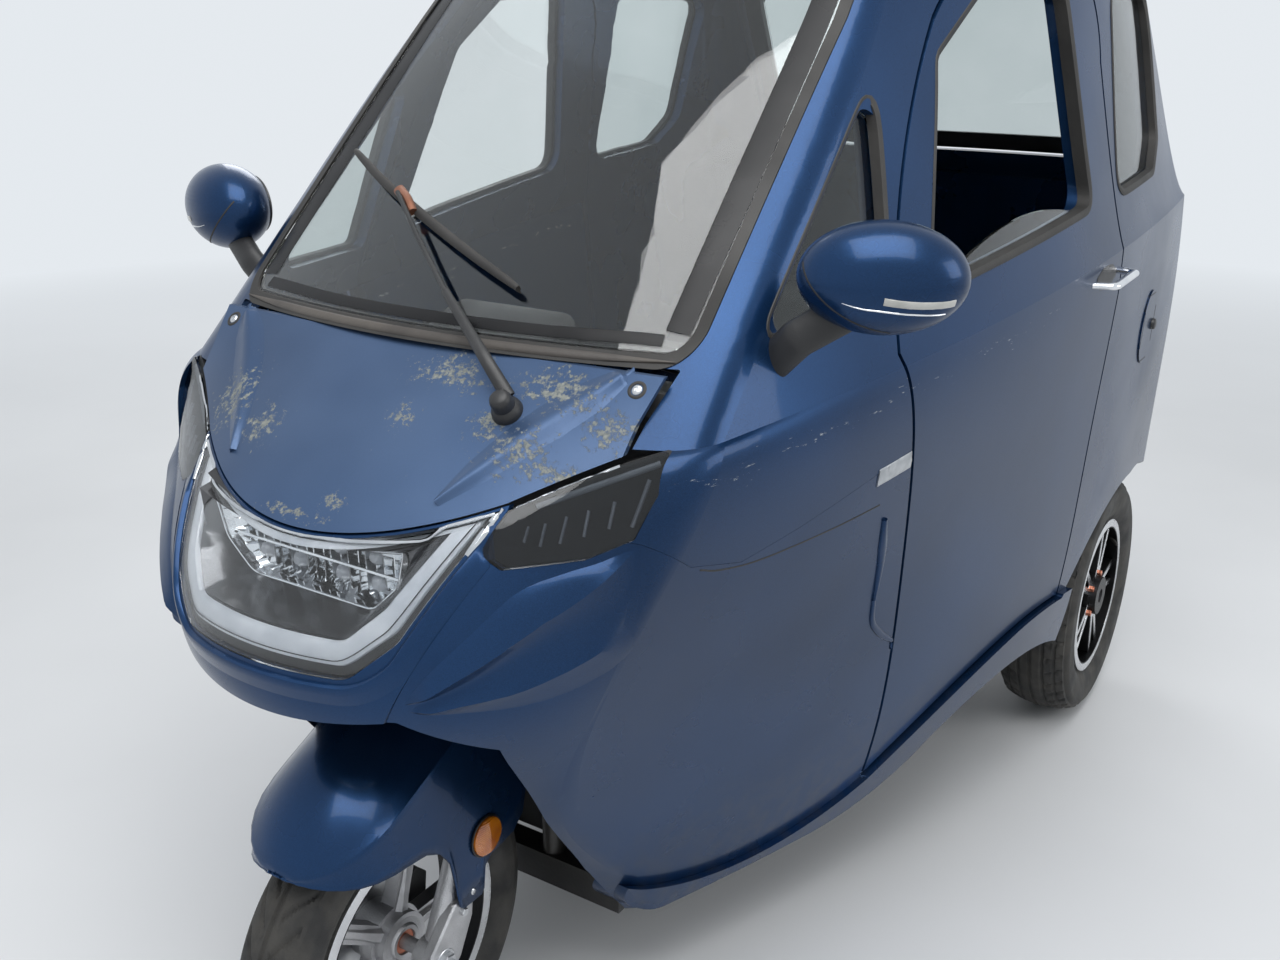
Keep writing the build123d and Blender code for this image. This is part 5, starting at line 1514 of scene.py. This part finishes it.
def blown_up(mesh):
    """The mesh after a short cloth simulation with pressure inside and no gravity."""
    holder = bpy.data.objects.new("pad_cloth", mesh)
    bpy.context.scene.collection.objects.link(holder)
    cloth = holder.modifiers.new("cloth", "CLOTH")
    cloth.settings.use_pressure = True
    cloth.settings.uniform_pressure_force = 4
    cloth.settings.effector_weights.gravity = 0
    cloth.point_cache.frame_start, cloth.point_cache.frame_end = 1, PAD_STEPS
    for frame_number in range(1, PAD_STEPS + 1):
        bpy.context.scene.frame_set(frame_number)
    swollen = still_mesh(holder)
    bpy.context.scene.frame_set(1)
    bpy.data.objects.remove(holder)
    return swollen


def pad(name, node, centre, along, facing, half, channels, body="car_body"):
    """A stuffed pad: x runs across the car, along runs up or back, and facing is the side that is sat on."""
    along, facing = Vector(along).normalized(), Vector(facing).normalized()
    even = pad_mesh(half)
    before = [v.co.copy() for v in even.vertices]
    swollen = blown_up(even)
    after = [v.co.copy() for v in swollen.vertices]
    points = []
    for old, new in zip(before, after):
        move = new - old
        if move.length > PAD_CAP:
            move = move.normalized() * PAD_CAP
        point = old + move
        crown = max(0.0, 1 - (point.x / half[0]) ** 2) * max(0.0, 1 - (point.y / half[1]) ** 2)
        waist = 0.006 * (1 - abs(point.z) / half[2])
        point.x -= math.copysign(waist * max(0.0, 1 - (point.y / half[1]) ** 4),
                                 point.x) * (abs(point.x) / half[0]) ** 6
        point.y -= math.copysign(waist * max(0.0, 1 - (point.x / half[0]) ** 4),
                                 point.y) * (abs(point.y) / half[1]) ** 6
        if point.z > 0:
            point.z += 0.007 * crown ** 0.5
            for axis, at, deep in channels:
                point.z -= deep * math.exp(-((point[axis] - at) / 0.0075) ** 2) * min(1.0, crown * 6)
        point.z = max(point.z, -half[2] + 0.0004)
        for axis, limit in enumerate((half[0], half[1], half[2] + 0.004)):
            point[axis] = min(max(point[axis], -limit), limit)
        points.append(point)
    across = Vector((1, 0, 0)) if facing.cross(Vector((1, 0, 0))).dot(along) > 0 else Vector((-1, 0, 0))
    middle = Vector(centre)
    placed = [middle + across * p.x + along * p.y + facing * p.z for p in points]
    faces = [tuple(face.vertices) for face in even.polygons]
    made = piece(name, placed, faces, body, seat_vinyl, "seat_cover", sharp=60)
    finer = made.modifiers.new("finer", "SUBSURF")
    finer.levels = finer.render_levels = 1
    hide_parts(node)
    skin = BVHTree.FromPolygons(placed, faces)
    x, y = half[0] - 0.006, half[1] - 0.006
    corners = [Vector((0, -y, 0)), Vector((x, -y, 0)), Vector((x, y, 0)), Vector((-x, y, 0)),
               Vector((-x, -y, 0)), Vector((0, -y, 0))]
    route = rounded(corners, 0.04)
    line = []
    for flat in spread(route, 160):
        outside = middle + across * flat.x * 1.02 + along * flat.y * 1.02 + facing * (half[2] * 0.62)
        line.append(skin.find_nearest(outside)[0] + facing * 0.0012)
    piece(name + "_piping", *tube(line, 0.0034, 10), body, piping_finish, "seat_cover")
    thickness = max(p.z for p in points) - min(p.z for p in points)
    print(name, len(placed), "points, thickness", round(thickness, 3))


def rows(axis, places, deep):
    """Channels across one axis of a pad."""
    return [(axis, place, deep) for place in places]


# %% Four pads
pad("driver_cushion_pad", "driver_cushion", (0, 0.1, 0.4245), (0, 1, 0), (0, 0, 1), (0.218, 0.218, 0.0445),
    rows(0, (-0.14, 0.14), 0.008) + rows(1, (-0.09, 0.0, 0.09), 0.005))
pad("driver_back_pad", "driver_backrest", (0, 0.335, 0.6975), (0, 0.09, 0.535), (0, -0.986, 0.166),
    (0.208, 0.265, 0.0395), rows(0, (-0.13, 0.13), 0.008) + rows(1, (-0.12, -0.03, 0.06, 0.15), 0.005))
pad("rear_cushion_pad", "rear_cushion", (0, 0.62, 0.4605), (0, 1, 0), (0, 0, 1), (0.328, 0.163, 0.0545),
    rows(0, (-0.2, 0.0, 0.2), 0.008) + rows(1, (-0.05, 0.05), 0.005))
pad("rear_back_pad", "rear_backrest", (0, 0.858, 0.648), (0, 0.064, 0.484), (0, -0.991, 0.131),
    (0.328, 0.24, 0.0395), rows(0, (-0.2, 0.0, 0.2), 0.008) + rows(1, (-0.1, 0.0, 0.1), 0.005))

# %% [markdown]
# Small things finish the left side: the seam that runs back over the fender, the pressed cover over the hinge
# and a flat black patch behind the chrome handle, which is painted shade for the handle's shaded recess, all
# mirrored to the right, then the bare badge and the lock on the charging flap.

# %% Seam, bare badge, cover line, painted recess shade behind the handle and lock
body_skin = skin_of("front_fenders", "front_lower_panels", "hinge_pillars", "front_pillars")
THIN = ((-1, 0.2), (-0.5, 1), (0.5, 1), (1, 0.2))
seam_points = [(0.402, -0.698, 0.819), (0.406, -0.661, 0.807), (0.42, -0.59, 0.797), (0.448, -0.458, 0.796),
               (0.469, -0.353, 0.8)]
both(piece("fender_seam_left", *laid(flowing([Vector(p) for p in seam_points], 8), 0.0022, 0.0001, body_skin,
                                     THIN, 50), "car_body", seal_rubber, "seal_rubber"))
badge_finish = new_finish("bare_badge", (0.42, 0.44, 0.46), 0.32, 0.6)
mottle(badge_finish, (0.36, 0.38, 0.4), (0.5, 0.52, 0.54), 60.0)
grain(badge_finish, 300.0, 0.00005)
badge_line = [Vector(p) for p in ((0.4735, -0.3775, 0.8445), (0.48, -0.34, 0.848), (0.4885, -0.299, 0.852))]
piece("bare_badge", *laid(flowing(badge_line, 8), 0.026, 0.0014, body_skin, BAND, 24), "car_body",
      badge_finish, "body_paint")
cover_points = [(0.442, -0.291, 0.635), (0.455, -0.305, 0.703), (0.466, -0.329, 0.772)]
both(piece("hinge_cover_left", *laid(flowing([Vector(p) for p in cover_points], 8),
                                     [0.004, 0.012, 0.018, 0.008], 0.004, body_skin, RIDGE, 40), "car_body",
           paint, "body_paint"))
lower_points = [(0.442, -0.291, 0.635), (0.436, -0.27, 0.585), (0.439, -0.213, 0.539), (0.446, -0.174, 0.524)]
both(piece("hinge_crease_left", *laid(flowing([Vector(p) for p in lower_points], 8), [0.008, 0.012, 0.004],
                                      0.003, body_skin, RIDGE, 40), "car_body", paint, "body_paint"))
handle_skin = skin_of("door_panel_left", "door_frame_left")
# Painted shade: a flat black patch behind the handle stands for the shaded recess there.
recess_shade_points = [Vector((0.57, y, 1.0)) for y in np.linspace(0.262, 0.362, 12)]
recess_shade_left = piece("handle_cup_left", *laid(recess_shade_points, [0.012, 0.036, 0.04, 0.036, 0.012], 0.0006, handle_skin,
                                          THIN, 28), "door_left", black_plastic, "black_plastic")
other_side(recess_shade_left, "handle_cup_right", "door_right")
quarter_skin = skin_of("rear_quarter_panels")
lock_spot = quarter_skin.ray_cast(Vector((BESIDE, 0.705, 0.846)), INWARD)[0]
lock_profile = [(0.0001, 0.007), (0.006, 0.0072), (0.009, 0.0062), (0.0105, 0.004), (0.011, -0.004)]
flap_skin = skin_of("charge_flap")
flap_spot = flap_skin.ray_cast(Vector((BESIDE, 0.7, 0.85)), INWARD)[0] or lock_spot
piece("charge_lock", *turned(lock_profile, flap_spot, (1, 0, 0), 28), "car_body", black_plastic,
      "black_plastic")
flap_outline = side_loop([(0.628, 0.788), (0.708, 0.788), (0.708, 0.912), (0.628, 0.912)], 0.014, 0.0005, 80)
flap_line = on_side(flap_outline + flap_outline[:1], flap_skin, 0.0)
piece("flap_edge", *laid(flap_line, 0.0016, 0.0001, flap_skin, THIN, 120), "car_body", seal_rubber,
      "seal_rubber")
print("side details made")

# %% [markdown]
# The back isn't in the photograph, so it gets only what such cars have: round reflectors on the bumper and a
# black latch on the lower edge of the hatch.

# %% Details at the back
bumper_skin = skin_of("rear_bumper")


def on_back(points, skin):
    """Points of the back view moved on to a skin."""
    found = []
    for x, z in points:
        hit = skin.ray_cast(Vector((x, BEHIND, z)), -BACKWARD)[0]
        found.append(hit or skin.find_nearest(Vector((x, 1.0, z)))[0])
    return found


for side, word in SIDES[::-1]:
    spot = on_back([(side * 0.32, 0.405)], bumper_skin)[0]
    cup = [(0.0001, 0.0058), (0.012, 0.0056), (0.021, 0.0044), (0.0235, 0.0025), (0.0245, -0.004)]
    piece("back_reflector_" + word, *turned(cup, spot, (0, 1, 0), 36), "car_body", red_lens, "red_lens")
    rim = [(0.0235, 0.003), (0.0262, 0.0036), (0.0285, 0.002), (0.029, -0.004)]
    piece("reflector_ring_" + word, *ring(rim, spot, (0, 1, 0), 36), "car_body", black_plastic,
          "black_plastic")
hatch_skin = skin_of("hatch_frame", "hatch_glass")
latch_line = on_back([(-0.07, 1.148), (-0.035, 1.148), (0.0, 1.148), (0.035, 1.148), (0.07, 1.148)],
                     hatch_skin)
piece("hatch_latch", *laid(latch_line, 0.022, 0.014, hatch_skin, RIDGE, 24), "hatch", black_plastic,
      "black_plastic")
print("back details made")

# %% [markdown]
# Through the glass the dashboard and the handlebar can be seen. The instrument is a hooded block with a bare
# dark face that stays on the dashboard. The bar has rubber grips, levers and switch blocks, which turn with
# the steering.

# %% Handlebar grips, levers and instrument
bar_skin = skin_of("handlebar")
grip_finish = plain_black("grip_rubber", (0.01, 0.01, 0.011), (0.02, 0.02, 0.021), 0.62, 240.0, 0.0002)


def bar_middle(x, near):
    """The middle of the bar at a distance from the car's middle plane, from points all round it."""
    found = [bar_skin.find_nearest(Vector((x, near.y + 0.05 * math.cos(a), near.z + 0.05 * math.sin(a))))[0]
             for a in circle(16)]
    return sum(found, Vector()) / 16


for side, word in SIDES[::-1]:
    start = bar_skin.find_nearest(Vector((side * 0.295, -0.36, 0.98)))[0]
    outer_middle = bar_middle(side * 0.285, start)
    inner_middle = bar_middle(side * 0.185, start)
    axis = (outer_middle - inner_middle).normalized()
    length = (outer_middle - inner_middle).length
    profile = [(0.004, -0.002)]
    for count in range(12):
        at = length * count / 12
        profile += [(0.0165, at), (0.0178, at + 0.002), (0.0178, at + 0.0055), (0.0165, at + 0.0072)]
    profile += [(0.0185, length - 0.004), (0.0185, length + 0.002), (0.004, length + 0.0035)]
    piece("grip_" + word, *turned(profile, inner_middle, axis, 24), "steering", grip_finish, "black_plastic")
    bracket = inner_middle - axis * 0.012
    ahead = Vector((0, -1, 0.05)).normalized()
    lever_line = [bracket + ahead * forward_by + axis * along
                  for forward_by, along in ((0.02, 0.0), (0.045, 0.02), (0.055, 0.07), (0.048, 0.115))]
    piece("lever_" + word, *tube(flowing(lever_line, 6), 0.0052, 12, 0.7), "steering", bright_steel,
          "frame_steel")
    block_loops = []
    for at, size in ((-0.024, 0.012), (-0.022, 0.019), (0.006, 0.0205), (0.009, 0.013)):
        block_loops.append([bracket + axis * at + Vector((0, math.cos(a), math.sin(a))) * size
                            * (1 + 0.12 * math.cos(4 * a)) for a in circle(28)])
    piece("switch_block_" + word, *loft(block_loops), "steering", black_plastic, "black_plastic")
dash_skin = skin_of("dashboard")
dash_top = dash_skin.ray_cast(Vector((0.0, -0.545, 1.6)), Vector((0, 0, -1)))[0]


def cluster_loop(wide, high, back, lift):
    """A rounded block section that faces the driver."""
    y, z = dash_top.y + back, dash_top.z + lift
    corners = [Vector((-wide, y, z)), Vector((wide, y, z)), Vector((wide * 0.9, y, z + high)),
               Vector((-wide * 0.9, y, z + high))]
    middle = (corners[0] + corners[1]) / 2
    return spread(rounded([middle, corners[1], corners[2], corners[3], corners[0], middle], 0.02), 65)[:-1]


# Half width, height, and the place of the lower edge from the dashboard's top
cluster = [cluster_loop(*row) for row in (
    (0.085, 0.03, -0.07, -0.004), (0.1, 0.056, -0.045, -0.004), (0.108, 0.074, 0.01, -0.004),
    (0.109, 0.076, 0.035, -0.004), (0.102, 0.069, 0.037, -0.001), (0.099, 0.066, 0.018, 0.001))]
piece("instrument_hood", *loft(cluster), "car_body", dash_plastic, "black_plastic")
face_finish = plain_black("instrument_face", (0.008, 0.01, 0.012), (0.014, 0.017, 0.02), 0.12, 30.0, 0.00001)
face_loops = [cluster_loop(0.097, 0.064, 0.019, 0.002), cluster_loop(0.096, 0.063, 0.0215, 0.0025)]
piece("instrument_face", *loft(face_loops), "car_body", face_finish, "black_plastic")
for count, x in enumerate((-0.055, 0.055)):
    dial = turned([(0.0001, 0.0012), (0.024, 0.0012), (0.026, 0.0035), (0.0275, 0.003), (0.028, -0.001)],
                  (x, dash_top.y + 0.0215, dash_top.z + 0.034), (0, 1, 0), 36)
    piece(f"dial_rim_{count + 1}", *dial, "car_body", chrome, "handle_chrome")
print("inside details made")

# %% [markdown]
# The car stands on a plain pale floor under a big soft lamp, with weaker ones beside and behind it. The floor
# fades into the pale world far out. The world is pale to the camera, to reflections and through glass, and
# dimmer as a source of light, so that colours stay as written.

# %% Floor, lamps and world
floor_mesh = bpy.data.meshes.new("floor")
floor_mesh.from_pydata([(-14, -14, 0), (14, -14, 0), (14, 14, 0), (-14, 14, 0)], [], [(0, 1, 2, 3)])
floor = bpy.data.objects.new("floor", floor_mesh)
bpy.context.scene.collection.objects.link(floor)
floor_finish = new_finish("pale_floor", (0.72, 0.73, 0.74), 0.55)
mottle(floor_finish, (0.7, 0.71, 0.72), (0.76, 0.77, 0.78), 0.7)
floor_mesh.materials.append(floor_finish)
PALE_ROOM = (0.78, 0.82, 0.86, 1)
FADE_START, FADE_END = 2.6, 6.5
away = add(floor_finish, "ShaderNodeVectorMath", {"operation": "LENGTH"},
           i0=place(floor_finish)).outputs["Value"]
fade = between(floor_finish, away, FADE_START, FADE_END)
floor_ray = add(floor_finish, "ShaderNodeLightPath")
direct = maths(floor_finish, "MAXIMUM", floor_ray.outputs["Is Camera Ray"],
               floor_ray.outputs["Is Glossy Ray"])
direct = maths(floor_finish, "MAXIMUM", direct, floor_ray.outputs["Is Transmission Ray"])
share = maths(floor_finish, "MULTIPLY", fade, direct)
haze = add(floor_finish, "ShaderNodeEmission")
haze.inputs["Color"].default_value = PALE_ROOM
blend = add(floor_finish, "ShaderNodeMixShader")
floor_tree = floor_finish.node_tree
floor_output = floor_tree.nodes["Material Output"]
floor_tree.links.new(share, blend.inputs[0])
floor_tree.links.new(shader_of(floor_finish).outputs[0], blend.inputs[1])
floor_tree.links.new(haze.outputs[0], blend.inputs[2])
floor_tree.links.new(blend.outputs[0], floor_output.inputs[0])


def soft_lamp(name, spot, aim, size, power):
    """A square soft lamp that looks at a point."""
    lamp = bpy.data.lights.new(name, "AREA")
    lamp.shape, lamp.size, lamp.energy = "SQUARE", size, power
    holder = bpy.data.objects.new(name, lamp)
    bpy.context.scene.collection.objects.link(holder)
    holder.location = spot
    holder.rotation_euler = (Vector(aim) - Vector(spot)).to_track_quat("-Z", "Y").to_euler()
    return holder


soft_lamp("sky_lamp", (0.8, -1.6, 4.6), (0, -0.2, 0.5), 3.4, 170)
soft_lamp("side_lamp", (4.2, 0.8, 2.4), (0, 0, 0.7), 2.0, 45)
soft_lamp("back_lamp", (-3.4, 3.2, 3.2), (0, 0.3, 0.8), 2.4, 55)

world = bpy.data.worlds.new("pale_room")
bpy.context.scene.world = world
world.use_nodes = True
background = world.node_tree.nodes["Background"]
background.inputs["Color"].default_value = PALE_ROOM
ray = add(world, "ShaderNodeLightPath").outputs
seen = add(world, "ShaderNodeMath", {"operation": "ADD", "use_clamp": True}, i0=ray["Is Camera Ray"],
           i1=ray["Is Transmission Ray"]).outputs[0]
shiny = maths(world, "MAXIMUM", seen, ray["Is Glossy Ray"])
world.node_tree.links.new(between(world, shiny, 0.0, 1.0, 0.5, 1.0), background.inputs["Strength"])
bpy.context.scene.view_settings.view_transform = "Standard"

# %% Update the scene
bpy.context.view_layer.update()
